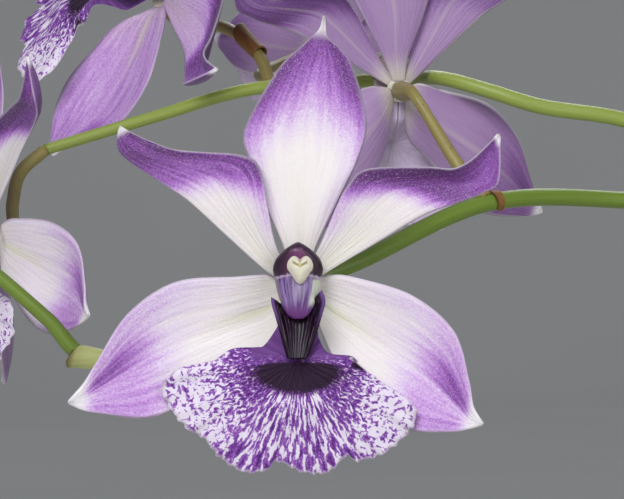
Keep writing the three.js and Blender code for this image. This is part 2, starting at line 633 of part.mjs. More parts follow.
function chipSolid() {
  const [long, wide, thick] = [draw(9, 17), draw(6, 10), draw(3.5, 6)];
  const chip = new THREE.BoxGeometry(long, wide, thick);
  chip.rotateX(draw(-0.35, 0.35));
  chip.rotateY(draw(-0.35, 0.35));
  chip.rotateZ(draw(0, Math.PI));
  const angle = draw(0, 2 * Math.PI);
  const reach = (potInside(MIX_TOP) - 13) * Math.sqrt(draw(0, 1));
  chip.translate(reach * Math.cos(angle), reach * Math.sin(angle), MIX_TOP + draw(-0.8, 1.2));
  return solidOf(chip);
}

function mixSolid() {
  const floor = POT_FLOOR + GAP;
  const profile = [
    [0, floor], [potInside(floor) - GAP, floor], [potInside(MIX_TOP) - GAP, MIX_TOP], [0, MIX_TOP],
  ];
  const chips = Array.from({ length: CHIP_COUNT }, chipSolid);
  const heap = join([solidOf(turned(profile)), ...chips]);
  const bulbs = BULBS.map((bulb) => loft(bulbRings(bulb, GAP)));
  const holes = [SPIKE_1, SPIKE_2, ...ROOTS].map((stem) => (
    stemSolid(stem.map(([x, y, z, r], i) => [x, y, i ? z : z - GAP, r * HOLE_EASE + GAP]), STEM_SIDES, 6)));
  return wholeBody([...bulbs, ...holes].reduce((mix, cutter) => mix.subtract(cutter), heap));
}

// A leaf: a folded, pleated blade that rises from its bulb's top and arches over
function leafSolid(bulb, [azimuth, length, halfWidth, start, end], foot) {
  const outward = vec(Math.cos(radians(azimuth)), Math.sin(radians(azimuth)), 0);
  const side = vec(-outward.y, outward.x, 0);
  const top = MIX_TOP - BULB_SUNK + bulb.height + LEAF_LIFT;
  const point = vec(
    bulb.at[0] + LEAF_FROM_AXIS * Math.cos(radians(foot)),
    bulb.at[1] + LEAF_FROM_AXIS * Math.sin(radians(foot)),
    top,
  );
  const shape = new THREE.SplineCurve(LEAF_OUTLINE.map(([share, wide]) => new THREE.Vector2(share, wide)));
  const across = 4;
  const grid = [];
  for (let i = 0; i <= LEAF_STEPS; i += 1) {
    const share = i / LEAF_STEPS;
    const lean = radians(THREE.MathUtils.lerp(start, end, share ** 1.25));
    const least = THREE.MathUtils.lerp(LEAF_BASE_HALF_WIDTH, LEAF_TIP_HALF_WIDTH, share);
    const wide = Math.max(least, halfWidth * shape.getPoint(share).y);
    const fold = THREE.MathUtils.lerp(0.9, 0.3, THREE.MathUtils.smoothstep(share, 0, 0.6));
    const inward = outward.clone().multiplyScalar(-Math.cos(lean)).add(vec(0, 0, Math.sin(lean)));
    grid.push(Array.from({ length: across + 1 }, (_, j) => {
      const v = (2 * j) / across - 1;
      const pleat = fold * Math.abs(v) ** 0.8;
      return point.clone()
        .addScaledVector(side, v * wide * Math.cos(fold))
        .addScaledVector(inward, pleat * wide * 0.7);
    }));
    point.addScaledVector(outward, (Math.sin(lean) * length) / LEAF_STEPS);
    point.z += (Math.cos(lean) * length) / LEAF_STEPS;
  }
  return thicken(grid, LEAF_THICKNESS);
}

const plant = new THREE.Group();
plant.add(meshOf('pot', potSolid(), 'pot'));
plant.add(meshOf('bark_mix', mixSolid(), 'mix'));
BULBS.forEach((bulb, i) => {
  plant.add(meshOf(`pseudobulb_${i + 1}`, loft(bulbRings(bulb, 0)), 'bulb'));
  const middle = bulb.leaves.reduce((sum, [azimuth]) => sum + azimuth, 0) / bulb.leaves.length;
  bulb.leaves.forEach((leaf, j) => {
    const foot = middle + ((bulb.leaves.length - 1) / 2 - j) * LEAF_SPREAD;
    plant.add(meshOf(`leaf_${i + 1}_${j + 1}`, leafSolid(bulb, leaf, foot), 'leaf'));
  });
});
plant.add(meshOf('spike_1', spikeSolid(SPIKE_1, BRACTS_1, [0, 1]), 'stem'));
plant.add(meshOf('spike_2', spikeSolid(SPIKE_2, BRACTS_2, [2, 3, 4]), 'stem'));
ROOTS.forEach((root, i) => {
  plant.add(meshOf(`aerial_root_${i + 1}`, stemSolid(root, ROOT_SIDES, 6), 'root'));
});
BLOOMS.forEach((bloom, i) => plant.add(bloomGroup(bloom, i)));

export default plant;
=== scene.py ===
"""Looks of the potted zygonisia orchid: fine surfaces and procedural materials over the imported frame."""
import math
import random

import bpy
import numpy as np
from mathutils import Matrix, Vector


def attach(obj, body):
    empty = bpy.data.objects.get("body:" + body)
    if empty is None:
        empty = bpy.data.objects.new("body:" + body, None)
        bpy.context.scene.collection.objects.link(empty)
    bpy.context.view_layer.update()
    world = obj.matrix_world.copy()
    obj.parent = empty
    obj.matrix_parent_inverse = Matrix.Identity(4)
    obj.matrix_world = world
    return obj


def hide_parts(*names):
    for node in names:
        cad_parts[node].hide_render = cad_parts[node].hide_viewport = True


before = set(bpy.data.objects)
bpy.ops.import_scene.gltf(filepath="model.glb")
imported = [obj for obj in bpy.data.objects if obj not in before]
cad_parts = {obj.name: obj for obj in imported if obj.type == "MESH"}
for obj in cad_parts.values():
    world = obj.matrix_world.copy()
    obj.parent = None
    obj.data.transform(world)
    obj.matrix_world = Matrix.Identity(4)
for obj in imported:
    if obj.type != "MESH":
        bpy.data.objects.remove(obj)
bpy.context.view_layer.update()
MM = 0.001
random.seed(7)

# Pot, mix and bulbs, in millimetres, as the solids have them
POT_HEIGHT = 118
POT_FOOT_RADIUS = 44
POT_RIM_RADIUS = 65
POT_RIM_BAND = 22
POT_BAND_INSET = 4
POT_WALL = 6
POT_FLOOR = 8
DRAIN_HOLE_RADIUS = 5
DRAIN_HOLE_RING = 25
DRAIN_HOLE_COUNT = 4
POT_EDGE_ROUNDING = 1.8
MIX_TOP = 103
MIX_GAP = 0.4
CHIP_COUNT = 230
CHIP_SIDES = 14
CHIP_SHARES = (-1, -0.86, -0.4, 0.1, 0.5, 0.88, 1)
CHIP_CLEAR_OF_WALL = 6.5
CHIP_CLEAR_OF_BULB = 1.5
BULB_FOOT = MIX_TOP - 6
BULB_RIBS = 7
BULB_PROFILE = [(0, 0.72), (0.12, 0.9), (0.35, 1), (0.6, 0.9), (0.82, 0.7), (0.97, 0.52), (1, 0.2)]
# Bulbs: x, y, radius and height, and each leaf's azimuth, length, half width, and lean at foot and tip
BULBS = [
    (-37, -8, 11.5, 50, [(205, 262, 17, 38, 122)]),
    (-26, 27, 12.5, 54, [(150, 268, 17, 40, 124), (100, 288, 18, 26, 110)]),
    (-3, -28, 13, 58, [(272, 296, 19, 20, 112), (237, 285, 18, 30, 118)]),
    (19, 24, 13.5, 62, [(78, 312, 19, 14, 100), (52, 330, 20, 10, 92), (26, 322, 19, 16, 106)]),
    (35, -11, 13, 60, [(360, 318, 19, 12, 104), (333, 326, 20, 10, 96), (303, 300, 18, 20, 114)]),
]
LEAF_STEPS = 10
LEAF_FROM_AXIS = 4.6
LEAF_SPREAD = 72
LEAF_THICKNESS = 0.8
SHEATH_THICKNESS = 0.3
# Sheaths round each bulb: the share of its height, and the angle it faces
SHEATHS = ((0.5, 0.4), (0.36, 3.4))
LEAF_OUTLINE = [
    (0, 0), (0.07, 0.04), (0.16, 0.3), (0.34, 0.8), (0.52, 1), (0.74, 0.82), (0.9, 0.38), (1, 0),
]



def bloom_spec(at, turn, size, ovary=11, droop=0, reflex=0, flush_and_shade=0):
    """Where the ovary meets the tepals, yaw, pitch and roll, the size, the ovary's length, how far the
    lateral sepals hang and bend back, and how far the tepals are flushed lilac: partly a lilac tint,
    partly painted shade on the blooms further from the light."""
    spec = {"at": at, "turn": turn, "size": size, "ovary": ovary}
    return {**spec, "droop": droop, "reflex": reflex, "flush_and_shade": flush_and_shade}


# Some blooms are flushed lilac: partly a lilac tint, partly painted shade on the blooms further from the
# light.
BLOOMS = [
    bloom_spec((-164.8, -40, 312), (0, 0, 0), 1),
    bloom_spec((-145.6, 22, 349.5), (166, 8, -3), 0.92, droop=14),
    bloom_spec((-192.4, 45.6, 369.4), (39.9, 41.6, -76.1), 1.05, ovary=6, reflex=28, flush_and_shade=0.8),
    bloom_spec((-221.3, 4.5, 320.4), (65.7, 6.3, 17.3), 0.93, ovary=3, reflex=29, flush_and_shade=0.15),
    bloom_spec((-161.7, 89.5, 362.4), (-144.5, 14, 44), 0.77),
]

# Tepals in the bloom's own frame: x, y, z of one edge, then of the other, and how deep the middle lies
TEPALS = {
    "dorsal_sepal": [
        (-1.3, 1.6, 0.1, 1.3, 1.6, 0.1, 0.1), (-2.6, 7.2, 1.2, 3.2, 7.2, 1.2, 0.4),
        (-6.1, 15, 2, 6.8, 14.8, 2, 0.8), (-8.3, 21.4, 2.6, 10.1, 21.7, 2.6, 1),
        (-9, 27.1, 3, 11.6, 28.1, 3, 1), (-3.6, 36.7, 3.6, 9.4, 37, 3.6, 0.7),
        (0.2, 40.5, 3.9, 7.1, 40.4, 3.9, 0.5), (2.5, 42.6, 4.2, 5.1, 42.2, 4.2, 0.3),
        (3.8, 44, 4.5, 4.6, 43.9, 4.5, 0.2), (4.2, 45.8, 5, 4.5, 45.8, 5, 0),
    ],
    "petal_left": [
        (-0.7, 1.9, 0.7, -1.9, 0.7, 0.7, 0.1), (-3.6, 7, 3.6, -5.9, 3.3, 2.4, 0.4),
        (-5.1, 13.6, 5.2, -12.2, 8.9, 2.1, 0.5), (-6.4, 20.4, 5.2, -18.5, 14.6, 1.2, 0.2),
        (-9.8, 22.5, 4.8, -21.8, 16.9, 0.4, 0), (-19.9, 23.3, 4, -28.3, 21.2, -1.2, -0.6),
        (-24.7, 24.8, 3.2, -30.4, 23.1, -1.2, -0.8), (-27.8, 26.2, 2.2, -30.8, 24.9, -0.6, -0.4),
        (-30.1, 27.5, 0.8, -30.4, 27.3, 0.8, 0),
    ],
    "petal_right": [
        (0.7, 1.9, 0.7, 1.9, 0.7, 0.7, 0.1), (3.4, 6.8, 3.6, 6.2, 3.5, 2.4, 0.4),
        (6.4, 13.7, 5, 14.5, 8.4, 2.2, 0.7), (8.2, 17.1, 5, 18.9, 11.1, 2, 0.9),
        (11.4, 20.1, 4.8, 23, 13.1, 1.8, 1.1), (21.4, 20.5, 4.6, 29.1, 15.1, 2.2, 2.2),
        (25.9, 20.2, 4.8, 31.6, 16.3, 3, 2.5), (28.9, 21.6, 5, 33.6, 17.6, 4.2, 2.4),
        (31.4, 23.8, 5.2, 34, 20.8, 5, 1.7), (33.6, 26, 5.6, 33.8, 25.8, 5.6, 0),
    ],
    "lateral_sepal_left": [
        (-1.7, 1, 0, -1.7, -1.4, 0, 0.1), (-4.6, 2.3, 0.9, -4.6, -9.5, 0.8, 1.8),
        (-10.5, 2, 1.6, -9.9, -13.2, 0.8, 2.7), (-20.8, 1.1, 2, -18.4, -19.3, 0.8, 2.8),
        (-28.8, -4.2, 2.4, -25.6, -22, 1.4, 2.1), (-34, -12.3, 3, -33.1, -21.2, 2.6, 1),
        (-36.2, -15.9, 3.4, -36.2, -20.6, 3.2, 0.5), (-38.8, -19, 4, -38.8, -19.4, 4, 0),
    ],
    "lateral_sepal_right": [
        (1.7, 1, 0, 1.7, -1.4, 0, 0.1), (5.3, 2.3, 0.9, 4.9, -9.8, 0.8, 1.8),
        (10, 1.8, 1.6, 7.9, -14.5, 0.8, 2.7), (19.4, -1.2, 2, 13.2, -21.2, 0.8, 2.8),
        (26.4, -7.2, 2.4, 19.3, -24.1, 1.4, 2.1), (28.9, -15.4, 3, 25.3, -24.3, 2.6, 1),
        (29.6, -19.7, 3.4, 28.2, -23.9, 3.2, 0.5), (31.2, -22.7, 4, 31.2, -23, 4, 0),
    ],
}
TEPAL_THICKNESS = 0.75
TEPAL_CREASE = 1.6
REFLEX_START = 4
# How deep a flushed bloom's violet goes: partly a lilac tint, partly painted shade.
FLUSH_AND_SHADE_DEPTH = 0.62
KNOB_RADIUS = 2.6
KNOB_HALF_HEIGHT = 0.9
KNOB_CENTRE = 0.3
FORWARD = np.array([0, 0, 1])

LIP_THROAT = (0, -12)
LIP_APRON_HEIGHT = 5.9
LIP_NECK_HEIGHT = 1.9
LIP_HALF_THICKNESS = 0.35
LIP_RIM_HALF_THICKNESS = 0.03
LIP_OUTLINE = [
    (1, -1.8), (2.3, -4.6), (3.3, -7.1), (3.6, -8.5), (5.1, -10.7), (9.1, -11.3), (10.6, -13),
    (14.2, -15.7), (18.7, -18.7), (19.9, -20.5), (19.7, -22.6), (18.1, -25), (14.8, -27.7),
    (12.1, -28.8), (9.7, -29.2), (8.2, -28.2), (6.3, -30.1), (4.5, -31.3), (0.6, -31), (-2.7, -29.4),
    (-4.2, -29.5), (-5.4, -30.7), (-9.3, -31), (-13.2, -28.6), (-15.9, -25.3), (-18.3, -24.1),
    (-21.3, -20.8), (-23.1, -17.5), (-22.8, -16), (-20.1, -13.4), (-14.4, -12.1), (-11.1, -10.1),
    (-7.2, -9.8), (-5.7, -9.5), (-3.9, -7.1), (-2.6, -4.6), (-1.3, -1.8),
]

# Callus: left rail, trough and right rail of each section, from the throat up to the horns
CALLUS = [
    ((-1.8, -11.6, 8.2), (-0.1, -11.7, 7.9), (1.6, -11.6, 8.2)),
    ((-2.4, -9.5, 8.3), (-0.1, -9.6, 7.2), (2.4, -9.5, 8.3)),
    ((-3.1, -7, 8.5), (0, -7.1, 6.3), (3.3, -6.9, 8.5)),
    ((-3.8, -4.5, 8.8), (0, -5, 5.6), (4.1, -4.2, 8.8)),
    ((-4.4, -2.5, 9), (0, -4, 5.2), (4.6, -2, 9)),
    ((-4.5, -1.3, 9.2), (0, -3.5, 5), (4, -0.1, 9.2)),
]
CALLUS_THICKNESS = 0.8
CALLUS_WAVES = 9.4
CALLUS_RIDGE = 0.16

# Column: height up the bloom, half width, middle depth and half depth of each section
COLUMN = [
    (-5, 0.9, 7.2, 0.4), (-4.2, 1.9, 7.3, 0.6), (-2.5, 2.8, 7, 1), (-0.5, 3.5, 5.9, 2.3),
    (1.5, 3.9, 5.6, 2.6), (3.3, 4.2, 5.8, 2.5), (5, 3.7, 6.3, 2.2), (6.4, 2.4, 6.8, 1.8),
    (7.3, 1.2, 6.9, 1.2), (7.8, 0.3, 6.9, 0.4),
]
STALK_RADIUS = 1.1
STALK_HEIGHTS = (1.5, 3, 5.9)
ANTHER_CENTRE = (0.35, 3.7)
ANTHER_BACK = 8.6
ANTHER_HALF_WIDTH = 2.2
ANTHER_DEPTH = 1.35

# Spikes, pedicels and roots: points with a radius
SPIKE_1 = [
    (-9, 5, 99, 2.1), (-11, 10, 150, 2), (-15, 16, 200, 1.9), (-22, 22, 250, 1.8), (-35, 26, 290, 1.7),
    (-55, 26, 315, 1.7), (-80, 24, 326, 1.65), (-102.2, 20, 328.1, 1.65), (-129.5, 5, 327.3, 1.65),
    (-155.6, -12, 315.8, 1.6), (-173.5, -18, 309.6, 1.55), (-202, -19, 299.3, 1.5),
    (-209.5, -19.5, 306.2, 1.3), (-217.5, -20.5, 313.3, 1.25), (-222.5, -23, 317.5, 1.25),
    (-226, -25.5, 321, 1.6), (-228.5, -27.5, 325, 3.6), (-230.5, -29, 330, 4.4), (-232, -30, 335, 3),
    (-233, -30.5, 338.5, 0.7),
]
SPIKE_2 = [
    (1, 15, 99, 2), (-5, 18, 150, 1.9), (-17, 26, 210, 1.8), (-30, 32, 270, 1.7), (-50, 32, 310, 1.6),
    (-75, 26, 334, 1.5), (-102.2, 20, 343.6, 1.5), (-118.3, 20, 346.2, 1.5), (-128, 21, 349.2, 1.45),
    (-136.7, 25, 351.9, 1.4), (-143, 37, 352.6, 1.4), (-156.8, 40, 352.2, 1.35),
    (-175.3, 33, 350.2, 1.3), (-194.2, 27, 344.3, 1.2), (-214.2, 22, 337.9, 1.1),
]
PEDICELS = {
    0: [(-173.5, -18, 309.6), (-169, -26, 311.2)],
    1: [(-129.5, 5, 327.3), (-135, 9, 334.7)],
    2: [(-170.5, 36, 350.8), (-172.8, 40, 357), (-176.5, 45, 361.5), (-181.5, 49.5, 364.3)],
    3: [(-214.2, 22, 337.9), (-218.6, 19.5, 333.5), (-219.6, 14.5, 327.5)],
    4: [(-164.9, 37.6, 351.7), (-172, 52, 354), (-173, 68, 356)],
}
PEDICEL_RADIUS = 1.25
OVARY_RADIUS = 1.9
OVARY_TOP = 0.9
BRACT_THICKNESS = 0.35
# Bracts: the line they wrap, the share of its points, the length, and how brown it is
PEDICEL_2 = [(*p, PEDICEL_RADIUS) for p in PEDICELS[1]] + [(-139.6, 15, 342, PEDICEL_RADIUS)]
PEDICEL_3 = [(*p, PEDICEL_RADIUS) for p in PEDICELS[2]]
BRACTS = {
    1: [(SPIKE_1, 1.3, 14, 0.6), (SPIKE_1, 3.2, 14, 0.5), (SPIKE_1, 7.95, 1.8, 1), (SPIKE_1, 10, 5, 0.8),
        (SPIKE_1, 11, 8, 0), (PEDICEL_2, 0.25, 3, 0.8)],
    2: [(SPIKE_2, 1.3, 13, 0.6), (SPIKE_2, 3.2, 13, 0.5), (PEDICEL_3, 1.7, 9, 1)],
}
ROOTS = [
    [(-40, -22.5, 99, 1.8), (-41, -23, 109, 2), (-44, -25, 118, 2.1), (-51.5, -29, 122.8, 2.1),
     (-58.5, -33, 120.8, 2), (-61, -35, 111, 1.9), (-61, -35.5, 95, 1.7), (-59, -35, 80, 1.1)],
    [(39, -27, 99, 1.7), (40, -27.5, 109, 1.9), (42.5, -29.5, 118, 2), (48.5, -34, 122.6, 2),
     (54.5, -38.5, 120.4, 1.9), (57, -40.5, 110, 1.8), (57, -41, 97, 1.1)],
]

# The camera and the lights, in millimetres: each light's name, place, size and power
CAMERA_AT = (-162.45, -482, 318.585)
CAMERA_LENS = 150
CAMERA_SENSOR = 36
LIGHTS = [
    ("key", (-420, -900, 850), 450, 7.5), ("fill", (500, -900, 420), 700, 3.2),
    ("rim", (-100, 700, 900), 600, 4),
]
WORLD_COLOUR = (0.9, 0.93, 1, 1)
WORLD_STRENGTH = 0.3
# The floor: half its width, where its flat part ends, and the radius of its sweep
STAGE_HALF = 7000
STAGE_FLAT = 5000
STAGE_SWEEP = 1900
STAGE_TOP = 5000


def smoothstep(x, low, high):
    t = np.clip((np.asarray(x, float) - low) / (high - low), 0, 1)
    return t * t * (3 - 2 * t)


def bump_at(x, centre, width):
    """A bell round a centre."""
    return np.exp(-(((np.asarray(x, float) - centre) / width) ** 2))


def blend_of(a, b, share):
    return a + (b - a) * share


def smooth_line(points, shares, centripetal=False):
    """Points on the smooth curve through a list of points, at shares 0 to 1 of its points."""
    p = np.asarray(points, float)
    last = len(p) - 1
    p = np.vstack([2 * p[0] - p[1], p, 2 * p[-1] - p[-2]])
    place = np.clip(np.asarray(shares, float) * last, 0, last - 1e-9)
    i = place.astype(int)
    w = (place - i)[:, None]
    a, b, c, d = (p[i + k] for k in range(4))
    power = 0.5 if centripetal else 0
    gap = [np.maximum(np.linalg.norm((n - m)[:, :3], axis=1), 1e-6)[:, None] ** power
           for m, n in ((a, b), (b, c), (c, d))]
    out = (b - a) / gap[0] - (c - a) / (gap[0] + gap[1]) + (c - b) / gap[1]
    into = (c - b) / gap[1] - (d - b) / (gap[1] + gap[2]) + (d - c) / gap[2]
    t0, t1 = out * gap[1], into * gap[1]
    return b + t0 * w + (3 * (c - b) - 2 * t0 - t1) * w**2 + (2 * (b - c) + t0 + t1) * w**3


def unit(v):
    return v / np.maximum(np.linalg.norm(v, axis=-1, keepdims=True), 1e-9)


def circle(count):
    """Angles round a closed loop."""
    return np.linspace(0, 2 * math.pi, count, endpoint=False)


def stack(*parts):
    """Points from their x, y and z."""
    return np.stack(np.broadcast_arrays(*parts), axis=-1)


def new_object(name, data):
    made = bpy.data.objects.new(name, data)
    bpy.context.scene.collection.objects.link(made)
    return made


class Shape:
    """Points, faces and named point values of surfaces that become one piece."""

    def __init__(self):
        self.points = []
        self.faces = []
        self.values = {}
        self.count = 0

    def loft(self, rings, **values):
        """A closed surface through rings of points, one closed loop each, with its ends capped."""
        rings = np.asarray(rings, float)
        rows, sides = rings.shape[:2]
        index = np.arange(rows * sides).reshape(rows, sides) + self.count
        turned = np.roll(index, -1, axis=1)
        quads = np.stack([index[:-1], turned[:-1], turned[1:], index[1:]], axis=-1).reshape(-1, 4)
        faces = [tuple(q) for q in quads.tolist()]
        faces += [tuple(index[0][::-1].tolist()), tuple(index[-1].tolist())]
        flat = rings.reshape(-1, 3)
        a, b, c = (flat[quads[:, k] - self.count] - flat.mean(0) for k in range(3))
        if np.einsum("ij,ij->i", a, np.cross(b, c)).sum() < 0:
            faces = [f[::-1] for f in faces]
        self.points.append(flat)
        self.faces += faces
        self.count += rows * sides
        for key, numbers in values.items():
            self.values.setdefault(key, []).append(np.broadcast_to(numbers, (rows, sides)).reshape(-1))
        return self

    def sheet(self, grid, thickness, facing=None, **values):
        """A thin closed sheet on both sides of a grid of points, thinned to its side edges."""
        grid = np.asarray(grid, float)
        normal = unit(np.cross(np.gradient(grid, axis=0), np.gradient(grid, axis=1)))
        if facing is not None and (normal * facing).sum() < 0:
            normal = -normal
        across = np.linspace(-1, 1, grid.shape[1])[None, :, None]
        half = thickness / 2 * np.sqrt(np.maximum(1 - np.abs(across) ** 6, 0))
        front, back = grid + normal * half, (grid - normal * half)[:, -2:0:-1]
        loops = {}
        for key, numbers in values.items():
            numbers = np.broadcast_to(numbers, grid.shape[:2])
            loops[key] = np.hstack([numbers, numbers[:, -2:0:-1]])
        side = np.hstack([np.ones(front.shape[:2]), np.zeros(back.shape[:2])])
        side[:, [0, grid.shape[1] - 1]] = 0.5
        return self.loft(np.hstack([front, back]), side=side, **loops)

    def piece(self, name, material, node=None, slot=None, smooth=True, place=None):
        """The object made of all that was added, in metres, riding on the root."""
        points = np.vstack(self.points)
        if place is not None:
            points = place(points)
        mesh = bpy.data.meshes.new(name)
        mesh.from_pydata((points * MM).tolist(), [], self.faces)
        for key, numbers in self.values.items():
            layer = mesh.attributes.new(key, "FLOAT", "POINT")
            layer.data.foreach_set("value", np.concatenate(numbers).astype(np.float32))
        mesh.polygons.foreach_set("use_smooth", [smooth] * len(mesh.polygons))
        mesh.materials.append(material)
        mesh.validate()
        made = new_object(name, mesh)
        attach(made, "root")
        if node:
            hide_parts(node)
        return made

    def stand_in(self, node, material, slot, place=None):
        """The piece that stands for a node of the frame."""
        return self.piece(f"{node}_fine", material, node, slot, place=place)


def paint(code):
    """A linear colour from a hex code."""
    parts = [int(code[i:i + 2], 16) / 255 for i in (1, 3, 5)]
    return [c / 12.92 if c <= 0.04045 else ((c + 0.055) / 1.055) ** 2.4 for c in parts] + [1]


class Value:
    """A node's output, which takes sums, products and smooth steps."""

    def __init__(self, look, socket):
        self.look = look
        self.socket = socket

    def __add__(self, other):
        return self.look.math("ADD", self, other)

    def __sub__(self, number):
        return self + -number

    def __mul__(self, other):
        return self.look.math("MULTIPLY", self, other)

    def __abs__(self):
        return self.look.math("ABSOLUTE", self)

    def step(self, low, high, start=0.0, end=1.0):
        """From start to end as the value goes from low to high."""
        inputs = {"Value": self, "From Min": low, "From Max": high, "To Min": start, "To Max": end}
        return self.look.node("ShaderNodeMapRange", inputs, interpolation_type="SMOOTHSTEP")


class Look:
    """A material whose nodes are added in small steps, each of which gives a value back."""

    def __init__(self, name, **constants):
        self.material = bpy.data.materials.new(name)
        self.material.use_nodes = True
        self.tree = self.material.node_tree
        self.shader = self.tree.nodes["Principled BSDF"]
        self.colour = None
        for key, value in constants.items():
            key = key.replace("_", " ").title().replace("Ior", "IOR")
            self.shader.inputs[key].default_value = value

    def plug(self, socket, value):
        """A value, a colour's hex code or a plain number goes into a socket."""
        if isinstance(value, Value):
            self.tree.links.new(value.socket, socket)
        else:
            socket.default_value = paint(value) if isinstance(value, str) else value

    def node(self, kind, inputs, output=0, **settings):
        made = self.tree.nodes.new(kind)
        for key, value in settings.items():
            setattr(made, key, value)
        for key, value in inputs.items():
            self.plug(made.inputs[key], value)
        return Value(self, made.outputs[output])

    def at(self, *names):
        """Named values of the mesh's points."""
        values = [self.node("ShaderNodeAttribute", {}, "Fac", attribute_name=name) for name in names]
        return values if len(names) > 1 else values[0]

    def place(self):
        """The place on the object, in millimetres."""
        where = self.node("ShaderNodeTexCoord", {}, "Object")
        return self.node("ShaderNodeVectorMath", {0: where, 1: (1000, 1000, 1000)}, operation="MULTIPLY")

    def math(self, kind, a, b=0.0):
        return self.node("ShaderNodeMath", {0: a, 1: b}, operation=kind)

    def mix(self, share, a, b):
        return self.node("ShaderNodeMix", {0: share, 6: a, 7: b}, 2, data_type="RGBA")

    def over(self, share, colour):
        """Another colour over the one so far, as far as the share says."""
        self.colour = self.mix(share, self.colour, colour)

    def ramp(self, value, stops):
        """A colour for a value, between coded colours at their places."""
        made = self.tree.nodes.new("ShaderNodeValToRGB")
        self.plug(made.inputs[0], value)
        elements = made.color_ramp.elements
        while len(elements) < len(stops):
            elements.new(0.5)
        for element, (place, code) in zip(elements, stops):
            element.position = place
            element.color = paint(code)
        return Value(self, made.outputs[0])

    def noise(self, vector, size=1.0, detail=2.0, distortion=0.0):
        """Cloudy noise, 0 to 1, with lumps of about that size in the vector's unit."""
        inputs = {"Vector": vector, "Scale": 1 / size, "Detail": detail, "Distortion": distortion}
        return self.node("ShaderNodeTexNoise", inputs)

    def cloud(self, size, detail=2.0, distortion=0.0):
        """Noise over the object, with its size in millimetres."""
        return self.noise(self.place(), size, detail, distortion)

    def streaks(self, x, y, z=0.0, detail=2.0):
        """Noise over values of the mesh, each times how fine it is."""
        return self.noise(self.node("ShaderNodeCombineXYZ", {0: x, 1: y, 2: z}), detail=detail)

    def bump(self, height, depth):
        """Relief that deep, in millimetres, where the height goes from 0 to 1."""
        inputs = {"Height": height, "Distance": depth * MM, "Strength": 1.0}
        before = self.shader.inputs["Normal"]
        if before.is_linked:
            inputs["Normal"] = Value(self, before.links[0].from_socket)
        self.plug(before, self.node("ShaderNodeBump", inputs))

    def finish(self, roughness=None):
        self.plug(self.shader.inputs["Base Color"], self.colour)
        if roughness is not None:
            self.plug(self.shader.inputs["Roughness"], roughness)
        return self.material


# Materials


def tepal_look():
    look = Look("tepal", roughness=0.5, sheen_weight=0.12, sheen_roughness=0.4)
    along, across, seed, violet, side = look.at("along", "across", "seed", "violet", "side")
    vein = look.streaks(across * 9, along * 3, seed, 3)
    grain = look.cloud(0.34, 1)
    ragged = (vein - 0.5) * 0.5 + (grain - 0.5) * 0.42
    share = violet + ragged * violet.step(0.02, 0.3, 0.35, 1.0)
    front = look.ramp(share, [
        (0, "#ebe6e4"), (0.2, "#ddcbe6"), (0.4, "#c59bd8"), (0.6, "#a266bf"), (0.8, "#7a3995"),
        (1, "#541a69"),
    ])
    front = look.mix(look.at("green") * 0.75, front, "#c6cb92")
    back = look.ramp(share, [
        (0, "#9e80ad"), (0.3, "#8e6aa1"), (0.55, "#7b5391"), (0.8, "#653d7a"), (1, "#502b63"),
    ])
    back = look.mix(look.at("rib"), back, "#cdc7b2")
    look.colour = look.mix(side, back, front)
    # Pale flecks on the front side: painted glints, the papillae catching the light.
    painted_glint = look.cloud(0.17, 0).step(0.58, 0.75, 0.0, 0.26)
    look.over(painted_glint * side, "#f3e9fb")
    look.over(look.at("pale"), "#efeaf0")
    look.bump(look.cloud(0.5), 0.05)
    look.bump(vein, 0.25)
    return look.finish()


def lip_look():
    """White, with violet streaks down the middle, dashes at the sides and a dark throat."""
    look = Look("lip", roughness=0.6, specular_ior_level=0.2)
    ray, reach, seed, outer = look.at("ray", "reach", "seed", "outer")
    turn = ray + (look.cloud(1.6) - 0.5) * outer.step(0.0, 1.0, 0.05, 0.14)
    grain = look.cloud(0.35, 1) - 0.5
    middle = look.streaks(turn * 23, reach * 0.36, seed)
    dashes = look.streaks(turn * 30, reach * 0.95, seed)
    field = look.node("ShaderNodeMix", {0: outer, 2: middle, 3: dashes}, 0, data_type="FLOAT")
    field = field + grain * 0.12 + look.at("cover") * 0.5
    violet = look.ramp(field + grain * 0.3, [
        (0.72, "#b58acb"), (0.8, "#9059b2"), (0.9, "#723a96"), (1, "#532473"),
    ])
    white = look.mix(look.cloud(3), "#ece5f1", "#ddd0e8")
    look.colour = look.mix(field.step(0.72, 0.79), white, violet)
    dark = look.at("dark") + grain * 0.45
    look.over(dark.step(0.15, 0.7), "#240c29")
    veins = look.streaks(ray * 9, reach * 0.1, seed, 3)
    look.over(look.at("collar"), look.mix(veins, "#8a58a8", "#34134f"))
    look.over(look.at("rim"), "#cdc2d2")
    under = look.mix(look.cloud(2.5), "#cfc2d6", "#b7a3c6")
    look.colour = look.mix(look.at("side"), under, look.colour)
    look.bump(look.cloud(0.6), 0.08)
    look.bump(look.streaks(ray * 7, reach * 0.06), 0.5)
    return look.finish()


def callus_look():
    look = Look("callus", roughness=0.36, specular_ior_level=0.25)
    across, along = look.at("across", "along")
    wave = abs(look.math("SINE", across * CALLUS_WAVES))
    line = wave.step(0.965, 1.0) * along.step(0.95, 0.75)
    patchy = look.streaks(across * 3, along * 5).step(0.35, 0.6)
    look.colour = look.mix(look.cloud(0.8), "#0e0511", "#260f2b")
    look.over(line * patchy, "#7a6272")
    # The upper rails in a lighter violet: violet colour, partly a painted highlight where the rails stand
    # forward.
    rail = abs(across).step(0.86, 0.99)
    look.over(rail * along.step(0.35, 0.8), "#6d4a8e")
    look.bump(wave, 0.35)
    return look.finish()


